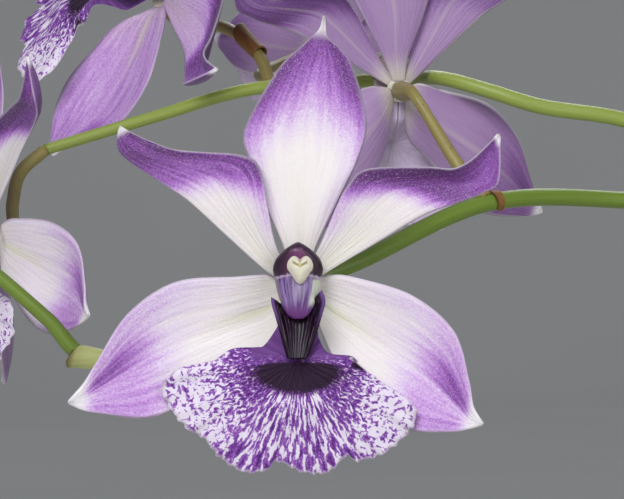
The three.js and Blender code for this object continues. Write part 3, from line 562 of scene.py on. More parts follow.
def column_look():
    """A veined face under a dark hood with a pale hem, and a pale wing on each side."""
    look = Look("column", roughness=0.4, coat_weight=0.15, coat_roughness=0.3)
    high, wide = look.at("high", "wide")
    veins = look.streaks(wide * 8, high * 0.18, detail=3)
    pale = abs(wide).step(0.5, 0.05) * high.step(-3.2, -0.5)
    face = look.mix(veins.step(0.38, 0.62), "#9077ae", "#4a2a62")
    face = look.mix(pale * 0.45, face, "#b3a4c0")
    face = look.mix(high.step(-1.6, -4.2), face, "#5e2470")
    grain = look.cloud(0.5)
    crest = abs(wide).step(0.75, 0.1) * high.step(7.4, 6.2)
    hood = look.mix(crest + (grain - 0.5) * 0.6, "#2a0f26", "#66295f")
    border = high + (grain - 0.5) * 0.8
    hem = border + abs(wide) * 0.9
    look.colour = look.mix(hem.step(2.7, 3.1), face, hood)
    line = hem.step(2.35, 2.6) * hem.step(2.95, 2.75)
    look.over(line * 0.55, "#cbb9c6")
    wing = look.mix(wide.step(-0.2, 0.2), "#857680", "#c5c9b8")
    edge = abs(wide) + wide.step(-0.5, 0.5, -0.14, 0.08)
    sides = edge.step(0.66, 0.8) * border.step(2.0, 1.2)
    look.over(sides * high.step(-3.4, -1.8), wing)
    look.over(look.at("behind"), look.mix(grain, "#6f4c7c", "#a9a08c"))
    look.bump(veins, 0.2)
    return look.finish()


def anther_look():
    look = Look("anther", roughness=0.42, subsurface_weight=0.1)
    grain = look.cloud(0.8)
    look.colour = look.mix(grain, "#ece3d3", "#dccfb4")
    look.over(look.at("groove") * 0.85, "#8f8050")
    look.over(look.at("bead") * 0.8, "#e3cf7c")
    look.bump(grain, 0.06)
    return look.finish()


def stem_look():
    look = Look("stem", roughness=0.42)
    around, along, shade, olive = look.at("around", "along", "shade", "olive")
    streak = look.streaks(around * 5, along * 0.05, detail=3)
    green = look.mix(streak, "#76892c", "#9dac55")
    # Darker green where the shade value is set: painted shade.
    green = look.mix(shade, green, look.mix(streak, "#4f6a16", "#718c2c"))
    look.colour = look.mix(olive, green, look.mix(streak, "#7d7436", "#a0925a"))
    freckle = look.cloud(0.7, 1).step(0.64, 0.74, 0.0, 0.5)
    look.over(freckle * olive, "#6d3f4a")
    look.bump(streak, 0.12)
    look.bump(look.cloud(0.5, 1), 0.03)
    return look.finish(streak.step(0.3, 0.7, 0.36, 0.5))


def bract_look():
    look = Look("bract", roughness=0.6)
    across, along, brown = look.at("across", "along", "brown")
    lines = look.streaks(across * 8, along * 1.5, detail=3)
    green = look.mix(lines, "#9aa556", "#c3c58c")
    look.colour = look.mix(brown + along.step(0.5, 1.0) * 0.25, green, look.mix(lines, "#5f3a18", "#94672c"))
    look.over(along.step(0.82, 1.0, 0.0, 0.7), "#4d2a12")
    look.bump(lines, 0.2)
    return look.finish()


def leaf_look():
    look = Look("leaf", roughness=0.38)
    along, across, seed = look.at("along", "across", "seed")
    veins = look.streaks(across * 26, along * 1.5, seed)
    patches = look.cloud(22, 3)
    look.colour = look.mix(patches, "#2f5a22", "#54812f")
    look.over(veins.step(0.45, 0.75, 0.0, 0.5), "#7ea24a")
    look.over(abs(across).step(0.07, 0.0) * 0.7, "#9cb55e")
    look.over(along.step(0.12, 0.0, 0.0, 0.6), "#b7bf86")
    tip = along + (look.cloud(5) - 0.5) * 0.04
    look.over(tip.step(0.965, 0.99), "#7b5a2c")
    under = look.mix(patches, "#5f8440", "#7c9c58")
    look.colour = look.mix(look.at("side"), under, look.colour)
    look.bump(veins, 0.18)
    return look.finish(patches.step(0.3, 0.7, 0.34, 0.46))


def bulb_look():
    look = Look("bulb", roughness=0.4)
    around, along, seed = look.at("around", "along", "seed")
    streak = look.streaks(around * 14, along * 2.0, seed, 3)
    look.colour = look.mix(streak, "#5f7d2c", "#9aac55")
    look.over(along.step(0.75, 1.0, 0.0, 0.7), "#8a9a4a")
    scar = look.cloud(2.2, 3).step(0.63, 0.72, 0.0, 0.7)
    look.over(scar, "#6b4c26")
    look.bump(streak, 0.5)
    look.bump(look.cloud(1.2, 3), 0.15)
    return look.finish()


def sheath_look():
    look = Look("sheath", roughness=0.75)
    across, along, seed = look.at("across", "along", "seed")
    fibres = look.streaks(across * 18, along * 1.2, seed, 4)
    look.colour = look.ramp(fibres, [(0.25, "#6d5233"), (0.5, "#a98d5f"), (0.75, "#d6c59b")])
    look.bump(fibres, 0.5)
    return look.finish()


def root_look():
    look = Look("root", roughness=0.8)
    grain = look.cloud(0.8, 4)
    look.colour = look.mix(look.cloud(4), "#d4d3c2", "#a8aa92")
    look.over(grain.step(0.58, 0.7, 0.0, 0.5), "#7d7a62")
    look.over(look.at("along").step(0.9, 0.97), "#7f9a45")
    look.bump(grain, 0.25)
    return look.finish()


def bark_look():
    look = Look("bark", roughness=0.9)
    layers = look.cloud(3.2, 5, 1.5)
    look.colour = look.ramp(layers, [
        (0.3, "#2a170d"), (0.48, "#5b3620"), (0.62, "#86583a"), (0.8, "#b48962"),
    ])
    look.over(look.at("seed") * 0.55, "#33231a")
    look.bump(layers, 0.8)
    look.bump(look.cloud(0.9, 3), 0.2)
    return look.finish()


def pot_look():
    look = Look("terracotta", roughness=0.82)
    clouds = look.cloud(30, 4)
    grain = look.cloud(1.1, 3)
    look.colour = look.mix(clouds, "#a8593a", "#c97c55")
    look.over(grain.step(0.6, 0.75, 0.0, 0.45), "#8c452c")
    high = look.node("ShaderNodeSeparateXYZ", {0: look.place()}, 2)
    drips = look.cloud(14, 5) + high.step(0, POT_HEIGHT, -0.12, 0.08)
    look.over(drips.step(0.56, 0.72, 0.0, 0.5), "#dcc3ae")
    look.bump(look.streaks(0.0, 0.0, high * 0.9), 0.35)
    look.bump(grain, 0.18)
    return look.finish(clouds.step(0.3, 0.7, 0.76, 0.88))


def floor_look():
    look = Look("floor", roughness=0.9)
    look.colour = look.mix(look.cloud(400), "#dcdcd8", "#e4e4e0")
    return look.finish()


# Blooms


def bloom_matrix(turn):
    """The bloom's axes as columns: right, up and the way it faces."""
    y, p, r = (math.radians(a) for a in turn)
    facing = np.array([-math.sin(y) * math.cos(p), -math.cos(y) * math.cos(p), math.sin(p)])
    level_right = np.array([math.cos(y), -math.sin(y), 0])
    level_up = np.cross(facing, level_right)
    right = level_right * math.cos(r) + level_up * math.sin(r)
    up = level_up * math.cos(r) - level_right * math.sin(r)
    return np.column_stack([right, up, facing])


def bent_back(grid, reflex):
    """A tepal's surface bent back by that angle where it is far enough out from the middle."""
    angle = math.radians(reflex)
    out = np.maximum(np.abs(grid[..., 0]) - REFLEX_START, 0)
    grid[..., 0] -= np.sign(grid[..., 0]) * out * (1 - math.cos(angle))
    grid[..., 2] -= out * math.sin(angle)
    return grid


def tepal_grid(sections, steps, across, reflex, droop):
    """The middle surface of a tepal, with the share of its length at each row."""
    shares = np.linspace(0, 1, steps + 1)
    rows = np.array(sections)
    first, second, sag = rows[:, :3], rows[:, 3:6], rows[:, 6:]
    a, b = smooth_line(first, shares), smooth_line(second, shares)
    m = smooth_line((first + second) / 2 - sag * FORWARD, shares)
    v = np.linspace(-1, 1, across + 1)[None, :, None]
    rise = (a + b) / 2 - m
    grid = m[:, None] + (b - a)[:, None] * v / 2 + rise[:, None] * np.abs(v) ** TEPAL_CREASE
    turn = math.radians(droop)
    swing = np.array([[math.cos(turn), -math.sin(turn), 0], [math.sin(turn), math.cos(turn), 0], [0, 0, 1]])
    length = np.r_[0, np.cumsum(np.linalg.norm(np.diff(m, axis=0), axis=1))]
    return bent_back(grid, reflex) @ swing.T, length / length[-1]


def tepal_paint(kind, s, v):
    """How violet, green and pale a tepal is at share s of its length and v across it."""
    base = smoothstep(s, 0.3, 0.0)
    if kind == "dorsal_sepal":
        violet = 0.79 * smoothstep(s + 0.12 * v**2, 0.45, 0.88)
        violet = violet * (1 - 0.15 * bump_at(v, 0.05, 0.2) * smoothstep(s, 0.95, 0.75))
        violet += 0.14 * bump_at(np.abs(v), 0.9, 0.25) * smoothstep(s, 0.05, 0.3)
        green = 0.4 * bump_at(v, 0, 0.3) * smoothstep(s, 0.5, 0.05)
        tip = smoothstep(s, 0.9, 0.96)
    elif kind.startswith("petal"):
        border = s - (0.45 + 0.085 * v + 0.03 * bump_at(v, 0.2, 0.35))
        depth = blend_of(0.66, 0.8, smoothstep(s, 0.6, 0.85))
        if kind == "petal_right":
            depth = blend_of(0.9, 0.68, smoothstep(s, 0.6, 0.9))
        violet = smoothstep(border, -0.07, 0.12) * (depth - 0.07) + 0.07
        violet += 0.24 * smoothstep(v, -0.2, -1.0) * smoothstep(s, 0.08, 0.25)
        green = 0.16 + 0.3 * bump_at(v, 0.35, 0.5) * smoothstep(s, 0.48, 0.2)
        tip = smoothstep(s, 0.95, 0.985)
    else:
        upper = smoothstep(v, 0.06, -0.06)
        streak = 0.56 * smoothstep(s, 0.5, 0.82) * bump_at(v, -0.24, 0.4)
        violet = upper * (streak + 0.22 * smoothstep(s, 0.2, 0.75))
        violet += (1 - upper) * 0.5 * smoothstep(s, 0.4, 0.7) * (0.8 + 0.2 * bump_at(v, 0.7, 0.3))
        violet += 0.1 * upper * bump_at(v, -0.95, 0.3)
        violet = violet * smoothstep(s, 0.98, 0.86)
        green = 0.75 * bump_at(v, -0.06, 0.14) * smoothstep(s, 0.5, 0.1)
        tip = smoothstep(s, 0.9, 0.97)
    rim = smoothstep(np.abs(v), 0.93, 1.0) * smoothstep(s, 0.1, 0.3) * 0.45
    green = green * (1 - np.clip(1.8 * violet, 0, 1))
    return violet * (1 - base), np.maximum(green, 0.3 * base), np.maximum(tip, rim)


def tepals(index, bloom, place, material):
    """Five tepals on the knob that they grow from."""
    steps, across = (150, 36) if index == 0 else (70, 20)
    swing = {"lateral_sepal_left": bloom["droop"], "lateral_sepal_right": -bloom["droop"]}
    shape = Shape()
    for order, (kind, sections) in enumerate(TEPALS.items()):
        reflex = bloom["reflex"] if kind in swing else 0
        grid, length = tepal_grid(sections, steps, across, reflex, swing.get(kind, 0))
        s, v = np.meshgrid(length, np.linspace(-1, 1, across + 1), indexing="ij")
        violet, green, pale = tepal_paint(kind, s, v)
        # Violet raised over the whole bloom: partly a lilac tint, partly painted shade on the blooms further
        # from the light.
        violet = np.maximum(violet, bloom["flush_and_shade"] * FLUSH_AND_SHADE_DEPTH * (0.8 + 0.2 * s))
        rib = 0.3 * bump_at(v, 0, 0.05) * smoothstep(s, 0.95, 0.4) + smoothstep(s, 0.16, 0.0)
        shape.sheet(
            grid, TEPAL_THICKNESS, FORWARD, along=s, across=v, violet=violet, green=green, pale=pale,
            rib=np.clip(rib, 0, 1) * 0.75, seed=order * 3 + index * 17.0,
        )
    high = np.linspace(0, math.pi, 14)
    knob = [(KNOB_RADIUS * math.sin(a), KNOB_CENTRE + KNOB_HALF_HEIGHT * math.cos(a)) for a in high]
    shape.loft(turned(knob, 24), along=0, across=0, violet=0, green=0.6, pale=0, rib=0.7, seed=1, side=0.5)
    return shape.stand_in(f"bloom_{index + 1}_tepals", material, "tepal", place)


def lip_height(x, y):
    radius = np.hypot(x - LIP_THROAT[0], y - LIP_THROAT[1])
    apron = LIP_APRON_HEIGHT + 1.3 * bump_at(radius, 7, 4) - 0.006 * radius**2
    return blend_of(apron, LIP_NECK_HEIGHT, smoothstep(y, -11.5, -6))


def lip(index, place, material):
    """A frilled sheet out from the throat, with the values that its pattern needs."""
    around, rings = (420, 46) if index == 0 else (180, 22)
    shares = np.linspace(0, 1, around, endpoint=False)
    outline = smooth_line([*LIP_OUTLINE, LIP_OUTLINE[0]], shares)
    offset = outline - LIP_THROAT
    angle = np.arctan2(offset[:, 0], -offset[:, 1])
    apron = smoothstep(outline[:, 1], -10.5, -13)
    scallop = 1 + apron * (0.008 * np.sin(61 * angle) + 0.006 * np.sin(97 * angle + 1))
    offset = offset * scallop[:, None]
    share = np.linspace(0, 1, rings + 1)[:, None] ** 0.8
    x, y = LIP_THROAT[0] + share * offset[:, 0], LIP_THROAT[1] + share * offset[:, 1]
    frill = 0.4 * np.sin(17 * (angle + math.pi / 2)) + 0.18 * np.sin(43 * angle + 0.7)
    z = lip_height(x, y) + apron * share**3 * frill
    grid = np.stack([x, y, z], axis=-1)
    half = LIP_HALF_THICKNESS * np.sqrt(1 - share**8)[..., None] + LIP_RIM_HALF_THICKNESS
    rows = np.concatenate([grid + FORWARD * half, (grid - FORWARD * half)[::-1]])
    reach = np.hypot(x - LIP_THROAT[0], y - LIP_THROAT[1])
    turn = np.broadcast_to(angle, reach.shape)
    outer = smoothstep(np.abs(turn + 0.05), 0.5, 0.9)
    near = smoothstep(reach, 7.0, 3.5)
    centre = 0.57 + 0.5 * near + 0.05 * smoothstep(reach, 13, 18)
    sides = blend_of(0.84, 0.42, smoothstep(reach, 5, 19)) - 0.06 * smoothstep(turn, 0.8, 1.2)
    cover = blend_of(centre, sides, outer)
    dark = bump_at(np.hypot(x / 8.6, (y + 14.2) / 2.9), 0, 1) + 0.3 * smoothstep(reach, 8, 4)
    shoulder = bump_at(share, 1, 0.2) * bump_at(np.abs(x - 0.5), 8.5, 4.5) * smoothstep(y, -15.5, -12.5)
    dark = np.maximum(dark, shoulder) - 0.5 * smoothstep(y, -13, -12)
    collar = smoothstep(y, -12.8, -10.6) * smoothstep(np.abs(x), 9, 7)
    rim = 0.7 * apron * smoothstep(share, 0.965, 0.99)
    fields = {
        "ray": turn, "reach": reach, "cover": cover, "outer": outer, "dark": dark, "collar": collar,
        "rim": rim,
    }
    doubled = {key: np.concatenate([field, field[::-1]]) for key, field in fields.items()}
    side = np.concatenate([np.ones(reach.shape), np.zeros(reach.shape)])
    shape = Shape().loft(rows, side=side, seed=index * 5.0, **doubled)
    return shape.stand_in(f"bloom_{index + 1}_lip", material, "lip", place)


def callus(index, place, material):
    """A ridged trough between two rails that end in horns."""
    steps, across = (60, 48) if index == 0 else (24, 20)
    shares = np.linspace(0, 1, steps + 1)
    left, trough, right = (smooth_line([row[k] for row in CALLUS], shares)[:, None] for k in range(3))
    v = np.linspace(-1, 1, across + 1)[None, :, None]
    rise = (left + right) / 2 - trough
    ridges = CALLUS_RIDGE * np.cos(CALLUS_WAVES * 2 * v) * (1 - v**4)
    grid = trough + (right - left) * v / 2 + rise * np.abs(v) ** 1.8 + ridges * [0, 0, 1]
    along, wide = np.meshgrid(shares, v.ravel(), indexing="ij")
    grid = grid - FORWARD * CALLUS_THICKNESS / 2
    shape = Shape().sheet(grid, CALLUS_THICKNESS, along=along, across=wide)
    return shape.stand_in(f"bloom_{index + 1}_callus", material, "callus", place)


def column(index, place, material):
    """The hooded column, with the stalk behind it."""
    steps, sides = (70, 64) if index == 0 else (30, 28)
    high, wide, depth, half = smooth_line(COLUMN, np.linspace(0, 1, steps)).T[:, :, None]
    turn = circle(sides)
    x = np.maximum(wide, 0.05) * np.cos(turn)
    z = depth + np.maximum(half, 0.05) * np.sin(turn)
    y = np.broadcast_to(high, x.shape)
    behind = smoothstep(-np.sin(turn), 0.1, 0.5)
    shape = Shape().loft(stack(x, y, z), high=y, wide=np.cos(turn)[None], behind=behind[None])
    high = np.array(STALK_HEIGHTS)[:, None]
    stalk = stack(STALK_RADIUS * np.cos(turn), STALK_RADIUS * np.sin(turn) + 0.1 * high, high)
    shape.loft(stalk, high=0, wide=0, behind=1)
    return shape.stand_in(f"bloom_{index + 1}_column", material, "column", place)


def anther(index, place, material):
    """A small heart, with a groove down each half and a bead between them."""
    sides, rings = (96, 34) if index == 0 else (28, 10)
    angle = circle(sides)
    notch = 0.42 * bump_at(angle, math.pi / 2, 0.36)
    point = 0.3 * bump_at(angle, 1.5 * math.pi, 0.36)
    waist = 0.12 * (bump_at(angle, 1.2 * math.pi, 0.4) + bump_at(angle, 1.8 * math.pi, 0.4))
    share = np.linspace(0.02, 1, rings)[:, None]
    radius = ANTHER_HALF_WIDTH * (1 - notch + point - waist) * share
    x, y = radius * np.cos(angle), radius * np.sin(angle)
    run = np.clip(np.abs(x), 0.15, 1.25)
    groove = bump_at(y, 0.1 + 0.55 * run, 0.2) * smoothstep(np.abs(x), 1.6, 1.1)
    groove = groove * smoothstep(np.abs(x), 0.0, 0.3)
    cleft = bump_at(x, 0, 0.16) * smoothstep(y, 0.4, 1.1)
    bead = bump_at(np.hypot(x, y - 0.35), 0, 0.34)
    z = 0.15 + ANTHER_DEPTH * (1 - share**2.4) - 0.4 * groove - 0.3 * cleft + 0.35 * bead
    top = stack(x + ANTHER_CENTRE[0], y + ANTHER_CENTRE[1], ANTHER_BACK + z)
    flat = top[::-1] * [1, 1, 0] + [0, 0, ANTHER_BACK]
    dark = np.clip(groove + 0.7 * cleft, 0, 1)
    dark, gold = (np.concatenate([field, field * 0]) for field in (dark, bead))
    shape = Shape().loft(np.concatenate([top, flat]), groove=dark, bead=gold)
    return shape.stand_in(f"bloom_{index + 1}_anther_cap", material, "anther", place)


def make_blooms():
    looks = tepal_look(), lip_look(), callus_look(), column_look(), anther_look()
    for index, bloom in enumerate(BLOOMS):
        turn = bloom_matrix(bloom["turn"])

        def place(points, turn=turn, bloom=bloom):
            return np.array(bloom["at"]) + (points * bloom["size"]) @ turn.T

        tepals(index, bloom, place, looks[0])
        lip(index, place, looks[1])
        callus(index, place, looks[2])
        column(index, place, looks[3])
        anther(index, place, looks[4])


# Stems, bracts and roots


def line_frames(centres):
    """Two directions across a line of points, carried along it without twist."""
    along = unit(np.gradient(centres, axis=0))
    right = unit(np.cross(along[0], [0.3, 0.2, 1]))
    rights = []
    for direction in along:
        right = unit(right - direction * (right @ direction))
        rights.append(right)
    rights = np.array(rights)
    return rights, np.cross(along, rights), along


def tube(shape, points, sides, step, ribs=None, **values):
    """A stem through points that carry a radius."""
    rough = smooth_line(points, np.linspace(0, 1, 40 * len(points)), True)
    run = np.r_[0, np.cumsum(np.linalg.norm(np.diff(rough[:, :3], axis=0), axis=1))]
    count = max(8, int(run[-1] / step))
    even = np.interp(np.linspace(0, run[-1], count), run, np.linspace(0, 1, len(run)))
    line = smooth_line(points, even, True)
    centres, radius = line[:, :3], line[:, 3]
    right, up, _ = line_frames(centres)
    turn = circle(sides)
    share = np.linspace(0, 1, count)[:, None]
    wide = radius[:, None] * (1 + (ribs(share, turn) if ribs else 0))
    rings = centres[:, None] + wide[..., None] * (
        np.cos(turn)[None, :, None] * right[:, None] + np.sin(turn)[None, :, None] * up[:, None])
    return shape.loft(rings, along=share * run[-1], around=np.cos(turn)[None] * math.pi, **values)


def ovary_points(bloom):
    facing = bloom_matrix(bloom["turn"])[:, 2]
    length = bloom["ovary"]
    stops = [(length, PEDICEL_RADIUS), (length / 2, OVARY_RADIUS), (OVARY_TOP, OVARY_RADIUS)]
    size = bloom["size"]
    return [(*(np.array(bloom["at"]) - facing * stop * size), radius * size) for stop, radius in stops]


def ovary_ribs(s, t):
    return 0.06 * smoothstep(s, 0.5, 0.7) * np.cos(6 * t)


def spike(number, points, blooms, material):
    """A stem with the pedicels and ribbed ovaries of its blooms."""
    shape = Shape()
    # Spike 1 is painted a darker green: painted shade, as it hangs in shadow.
    shade = 0.85 if number == 1 else 0.0
    tube(shape, points, 24, 1.0, olive=0.0, shade=shade)
    for index in blooms:
        line = [(*p, PEDICEL_RADIUS) for p in PEDICELS[index]] + ovary_points(BLOOMS[index])
        tube(shape, line, 24, 0.7, ovary_ribs, olive=1.0, shade=0)
    return shape.stand_in(f"spike_{number}", material, "stem")


def bracts(number, material):
    """Thin sheaths wrapped round a spike and its pedicels, each pointed on one side."""
    shape = Shape()
    for order, (points, place, length, brown) in enumerate(BRACTS[number]):
        share = min(place, len(points) - 1.02) / (len(points) - 1)
        near = smooth_line(points, [share - 0.002, share, share + 0.002], True)
        centre, radius = near[1][:3], near[1][3]
        along = unit(near[2][:3] - near[0][:3])
        right = unit(np.cross(along, [0.2, 0.3, 1]))
        up = np.cross(along, right)
        s = np.linspace(0, 1, 24)[:, None]
        v = np.linspace(-1, 1, 36)[None]
        turn = v * 2.7 * (1 - 0.55 * s**3) + order * 2.1
        wide = radius + 0.25 + 0.06 * min(length, 10) * s**2
        lift = (s - 0.5) * length * (1 - 0.25 * s * np.abs(v) ** 1.5)
        grid = centre + lift[..., None] * along + wide[..., None] * (
            np.cos(turn)[..., None] * right + np.sin(turn)[..., None] * up)
        shape.sheet(grid, BRACT_THICKNESS, along=s, across=v, brown=brown)
    return shape.piece(f"spike_{number}_bracts", material, None, "stem")


def wobble(s, t):
    return 0.05 * np.sin(31 * s + 2 * t) + 0.04 * np.sin(17 * s - t)


def roots():
    material = root_look()
    for order, points in enumerate(ROOTS):
        shape = Shape()
        tube(shape, points, 28, 0.8, wobble)
        shape.values["along"] = [shape.values["along"][0] / shape.values["along"][0].max()]
        shape.stand_in(f"aerial_root_{order + 1}", material, "root")


# Pseudobulbs and leaves


def bulb(order, spec, material):
    """A ribbed pseudobulb."""
    x, y, radius, height, _ = spec
    profile = smooth_line(BULB_PROFILE, np.linspace(0, 1, 60))
    share, wide = np.clip(profile[:, 0], 0, 1)[:, None], profile[:, 1][:, None]
    turn = circle(84)
    rib = 1 - 0.07 * (0.5 - 0.5 * np.cos(BULB_RIBS * turn)) * smoothstep(share, 1, 0.85)
    rib = rib - 0.015 * np.sin(3 * BULB_RIBS * turn + 9 * share)
    wide = radius * wide * rib
    rings = stack(x + wide * np.cos(turn), y + wide * np.sin(turn), BULB_FOOT + share * height)
    shape = Shape().loft(rings, along=share, around=turn[None], seed=order * 4.0)
    return shape.stand_in(f"pseudobulb_{order + 1}", material, "pseudobulb")


def sheaths(order, spec, material):
    """Dry papery sheaths round a bulb's foot, split and ragged at their tops."""
    x, y, radius, height, _ = spec
    shape = Shape()
    s = np.linspace(0, 1, 26)[:, None]
    v = np.linspace(-1, 1, 70)[None]
    for layer, (reach, facing) in enumerate(SHEATHS):
        torn = 1 - 0.3 * np.abs(v) ** 2 + 0.05 * np.sin(23 * v + order) + 0.04 * np.sin(57 * v + layer)
        up = s * reach * torn
        profile = np.interp(up, [p[0] for p in BULB_PROFILE], [p[1] for p in BULB_PROFILE])
        turn = v * 2.0 + facing + order * 1.3
        wide = radius * profile + 0.5 + 0.5 * layer + 1.4 * s**3 * np.abs(v) ** 2
        grid = stack(x + wide * np.cos(turn), y + wide * np.sin(turn), MIX_TOP + 0.5 + up * height)
        shape.sheet(grid, SHEATH_THICKNESS, along=s, across=v, seed=order * 2.0 + layer)
    return shape.piece(f"pseudobulb_{order + 1}_sheaths", material, None, "pseudobulb")


def leaf(name, spec, values, foot, seed, material):
    """A pleated leaf that arches outward from the top of its bulb."""
    azimuth, length, half_width, start, end = values
    outward = np.array([math.cos(math.radians(azimuth)), math.sin(math.radians(azimuth)), 0])
    side = np.array([-outward[1], outward[0], 0])
    up = np.array([0, 0, 1])
    x, y, _, height, _ = spec
    foot = math.radians(foot)
    point = np.array([
        x + LEAF_FROM_AXIS * math.cos(foot), y + LEAF_FROM_AXIS * math.sin(foot),
        BULB_FOOT + height + 0.6])
    line = []
    for i in range(LEAF_STEPS + 1):
        line.append(point)
        lean = math.radians(blend_of(start, end, (i / LEAF_STEPS) ** 1.25))
        point = point + (outward * math.sin(lean) + up * math.cos(lean)) * length / LEAF_STEPS
    steps, across = 90, 36
    s = np.linspace(0, 1, steps + 1)
    centre = smooth_line(line, s)
    lean = np.radians(blend_of(start, end, s**1.25))[:, None]
    outline = smooth_line(LEAF_OUTLINE, np.linspace(0, 1, 200))
    shape_width = np.interp(s, outline[:, 0], outline[:, 1])
    wide = np.maximum(blend_of(1.9, 0.3, s), half_width * shape_width)[:, None]
    fold = blend_of(0.9, 0.3, smoothstep(s, 0, 0.6))[:, None]
    inward = -outward * np.cos(lean) + up * np.sin(lean)
    v = np.linspace(-1, 1, across + 1)[None]
    pleated = (smoothstep(s, 0.05, 0.3) * smoothstep(s, 1, 0.8))[:, None]
    pleats = 0.05 * np.cos(5 * math.pi * v) * pleated
    wave = 0.04 * np.sin(11 * s + seed)[:, None] * v**2 * np.sign(v)
    grid = centre[:, None] + (v * wide * np.cos(fold))[..., None] * side
    rise = (fold * np.abs(v) ** 0.8 + pleats + wave) * wide * 0.7
    grid = grid + rise[..., None] * inward[:, None]
    along, width = np.meshgrid(s, v.ravel(), indexing="ij")
    values = {"along": along, "across": width, "seed": float(seed)}
    return Shape().sheet(grid, LEAF_THICKNESS, inward[:, None], **values).stand_in(name, material, "leaf")


def make_leafage():
    bulbs, papers, leaves = bulb_look(), sheath_look(), leaf_look()
    for order, spec in enumerate(BULBS):
        bulb(order, spec, bulbs)
        sheaths(order, spec, papers)
        count = len(spec[-1])
        middle = sum(values[0] for values in spec[-1]) / count
        for j, values in enumerate(spec[-1]):
            foot = middle + ((count - 1) / 2 - j) * LEAF_SPREAD
            leaf(f"leaf_{order + 1}_{j + 1}", spec, values, foot, order * 3 + j, leaves)


# Pot and mix


def pot_inside(z):
    foot, top = POT_FOOT_RADIUS - POT_WALL, POT_RIM_RADIUS - POT_BAND_INSET - POT_WALL
    return foot + (top - foot) * (z - POT_FLOOR) / (POT_HEIGHT - 2 - POT_FLOOR)


def turned(profile, sides):
    """Rings round the z axis, one for each radius and height."""
    turn = circle(sides)
    radius, high = np.array(profile).T[:, :, None]
    return stack(radius * np.cos(turn), radius * np.sin(turn), high)


def rounded(corners, cut, steps=5):
    """A profile whose inner corners are rounded by that cut."""
    line = [corners[0]]
    for before, corner, after in zip(corners, corners[1:], corners[2:]):
        before, corner, after = np.array(before), np.array(corner), np.array(after)
        start = corner + unit(before - corner) * min(cut, np.linalg.norm(before - corner) / 2)
        end = corner + unit(after - corner) * min(cut, np.linalg.norm(after - corner) / 2)
        for t in np.linspace(0, 1, steps):
            line.append(tuple((1 - t) ** 2 * start + 2 * t * (1 - t) * corner + t**2 * end))
    return [*line, corners[-1]]


def pot():
    """A plain pot with a rim band and drain holes."""
    lip_low = POT_HEIGHT - POT_RIM_BAND
    band = POT_RIM_RADIUS - POT_BAND_INSET
    inside = band - POT_WALL
    corners = [
        (0.1, 0), (POT_FOOT_RADIUS, 0), (band, lip_low), (POT_RIM_RADIUS, lip_low),
        (POT_RIM_RADIUS, POT_HEIGHT), (inside, POT_HEIGHT), (pot_inside(POT_FLOOR), POT_FLOOR),
        (0.1, POT_FLOOR),
    ]
    shape = Shape().loft(turned(rounded(corners, POT_EDGE_ROUNDING), 160))
    made = shape.stand_in("pot", pot_look(), "pot")
    cutters = Shape()
    for i in range(DRAIN_HOLE_COUNT):
        angle = 2 * math.pi * (i + 0.5) / DRAIN_HOLE_COUNT
        centre = np.array([DRAIN_HOLE_RING * math.cos(angle), DRAIN_HOLE_RING * math.sin(angle), 0])
        hole = turned([(DRAIN_HOLE_RADIUS, -POT_FLOOR), (DRAIN_HOLE_RADIUS, 2 * POT_FLOOR)], 32)
        cutters.loft(hole + centre)
    holes = cutters.piece("drain_holes", made.data.materials[0])
    cut = made.modifiers.new("holes", "BOOLEAN")
    cut.operation, cut.object, cut.solver = "DIFFERENCE", holes, "EXACT"
    bpy.context.view_layer.objects.active = made
    bpy.ops.object.modifier_apply(modifier=cut.name)
    bpy.data.objects.remove(holes)
    edges = made.modifiers.new("crisp", "EDGE_SPLIT")
    edges.split_angle = math.radians(50)
    return made


def chip(shape, centre, sizes, turns, tone):
    """A flake of bark: a block with broken ends and worn edges."""
    turn = circle(CHIP_SIDES)
    square = 1 / np.maximum(np.abs(np.cos(turn)), np.abs(np.sin(turn))) ** 0.8
    rings = []
    for share in CHIP_SHARES:
        small = 0.55 if abs(share) == 1 else 1.0
        rough = np.array([random.uniform(0.84, 1.12) for _ in turn]) * small
        ends = np.array([random.uniform(-0.1, 0.1) for _ in turn])
        across, up = np.cos(turn) * sizes[1] / 2, np.sin(turn) * sizes[2] / 2
        rings.append(stack((share + ends) * sizes[0] / 2, square * rough * across, square * rough * up))
    a, b, c = turns
    tilt = np.array([[1, 0, 0], [0, math.cos(a), -math.sin(a)], [0, math.sin(a), math.cos(a)]])
    lean = np.array([[math.cos(b), 0, math.sin(b)], [0, 1, 0], [-math.sin(b), 0, math.cos(b)]])
    spin = np.array([[math.cos(c), -math.sin(c), 0], [math.sin(c), math.cos(c), 0], [0, 0, 1]])
    shape.loft(np.array(rings) @ (spin @ lean @ tilt).T + centre, seed=tone)


def mix():
    """Potting mix with loose chips of bark all over its top, clear of the bulbs."""
    top, foot = MIX_TOP - 1.5, POT_FLOOR + 0.3
    walls = (pot_inside(POT_FLOOR) - MIX_GAP, foot), (pot_inside(top) - MIX_GAP, top)
    shape = Shape().loft(turned([(0.1, foot), *walls, (0.1, top)], 60), seed=0.9)
    placed = 0
    while placed < CHIP_COUNT:
        angle = random.uniform(0, 2 * math.pi)
        reach = (pot_inside(MIX_TOP) - CHIP_CLEAR_OF_WALL) * math.sqrt(random.random())
        x, y = reach * math.cos(angle), reach * math.sin(angle)
        if any(math.hypot(x - b[0], y - b[1]) <= b[2] + CHIP_CLEAR_OF_BULB for b in BULBS):
            continue
        sizes = random.uniform(7, 15), random.uniform(5, 9), random.uniform(2.5, 5)
        turns = random.uniform(-0.4, 0.4), random.uniform(-0.35, 0.35), random.uniform(0, math.pi)
        chip(shape, (x, y, MIX_TOP + random.uniform(-1.5, 2.6)), sizes, turns, random.random())
        placed += 1
    return shape.piece("bark_mix_fine", bark_look(), "bark_mix", "bark", smooth=False)


# Stage, camera and light


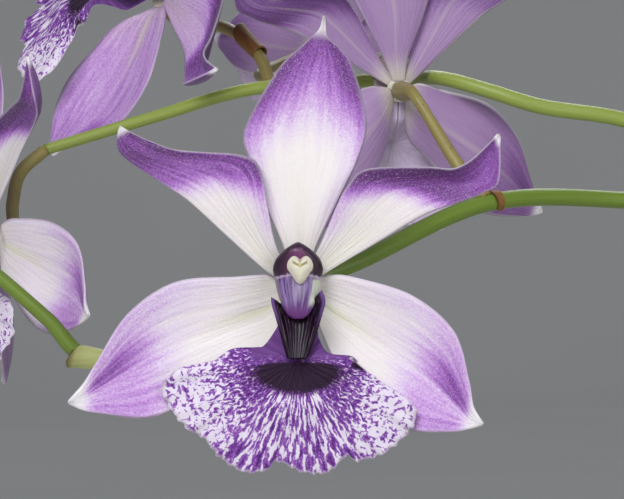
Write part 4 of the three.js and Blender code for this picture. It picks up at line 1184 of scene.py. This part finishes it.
def make_stage():
    """A pale floor that sweeps up into a backdrop."""
    turn = np.radians(np.linspace(0, 88, 40))
    sweep = np.stack([STAGE_FLAT + STAGE_SWEEP * np.sin(turn), STAGE_SWEEP * (1 - np.cos(turn))], axis=1)
    line = [(-STAGE_HALF, 0), (STAGE_FLAT - 100, 0), *sweep, (sweep[-1, 0] + 60, STAGE_TOP)]
    points = [(x, y, z) for y, z in line for x in (-STAGE_HALF, STAGE_HALF)]
    faces = [(2 * i, 2 * i + 1, 2 * i + 3, 2 * i + 2) for i in range(len(line) - 1)]
    mesh = bpy.data.meshes.new("floor")
    mesh.from_pydata((np.array(points) * MM).tolist(), [], faces)
    mesh.polygons.foreach_set("use_smooth", [True] * len(faces))
    mesh.materials.append(floor_look())
    new_object("floor", mesh)


def add_light(name, at, aim, size, power):
    data = bpy.data.lights.new(name, "AREA")
    data.shape, data.size, data.energy = "DISK", size * MM, power
    light = new_object(name, data)
    at, aim = np.array(at, float) * MM, np.array(aim, float) * MM
    light.location = at
    light.rotation_mode = "QUATERNION"
    light.rotation_quaternion = Vector(aim - at).to_track_quat("-Z", "Y")


def make_camera():
    data = bpy.data.cameras.new("camera")
    data.lens, data.sensor_width = CAMERA_LENS, CAMERA_SENSOR
    camera = new_object("camera", data)
    camera.location = np.array(CAMERA_AT) * MM
    camera.rotation_euler = (math.radians(90), 0, 0)
    bpy.context.scene.camera = camera


def make_light():
    world = bpy.data.worlds.new("studio")
    world.use_nodes = True
    background = world.node_tree.nodes["Background"]
    background.inputs[0].default_value = WORLD_COLOUR
    background.inputs[1].default_value = WORLD_STRENGTH
    bpy.context.scene.world = world
    for name, at, size, power in LIGHTS:
        add_light(name, at, BLOOMS[0]["at"], size, power)


bpy.context.scene.view_settings.view_transform = "Standard"
make_camera()
make_light()
make_stage()
pot()
mix()
make_leafage()
stems = stem_look()
bract_skin = bract_look()
spike(1, SPIKE_1, (0, 1), stems)
spike(2, SPIKE_2, (2, 3, 4), stems)
bracts(1, bract_skin)
bracts(2, bract_skin)
roots()
make_blooms()
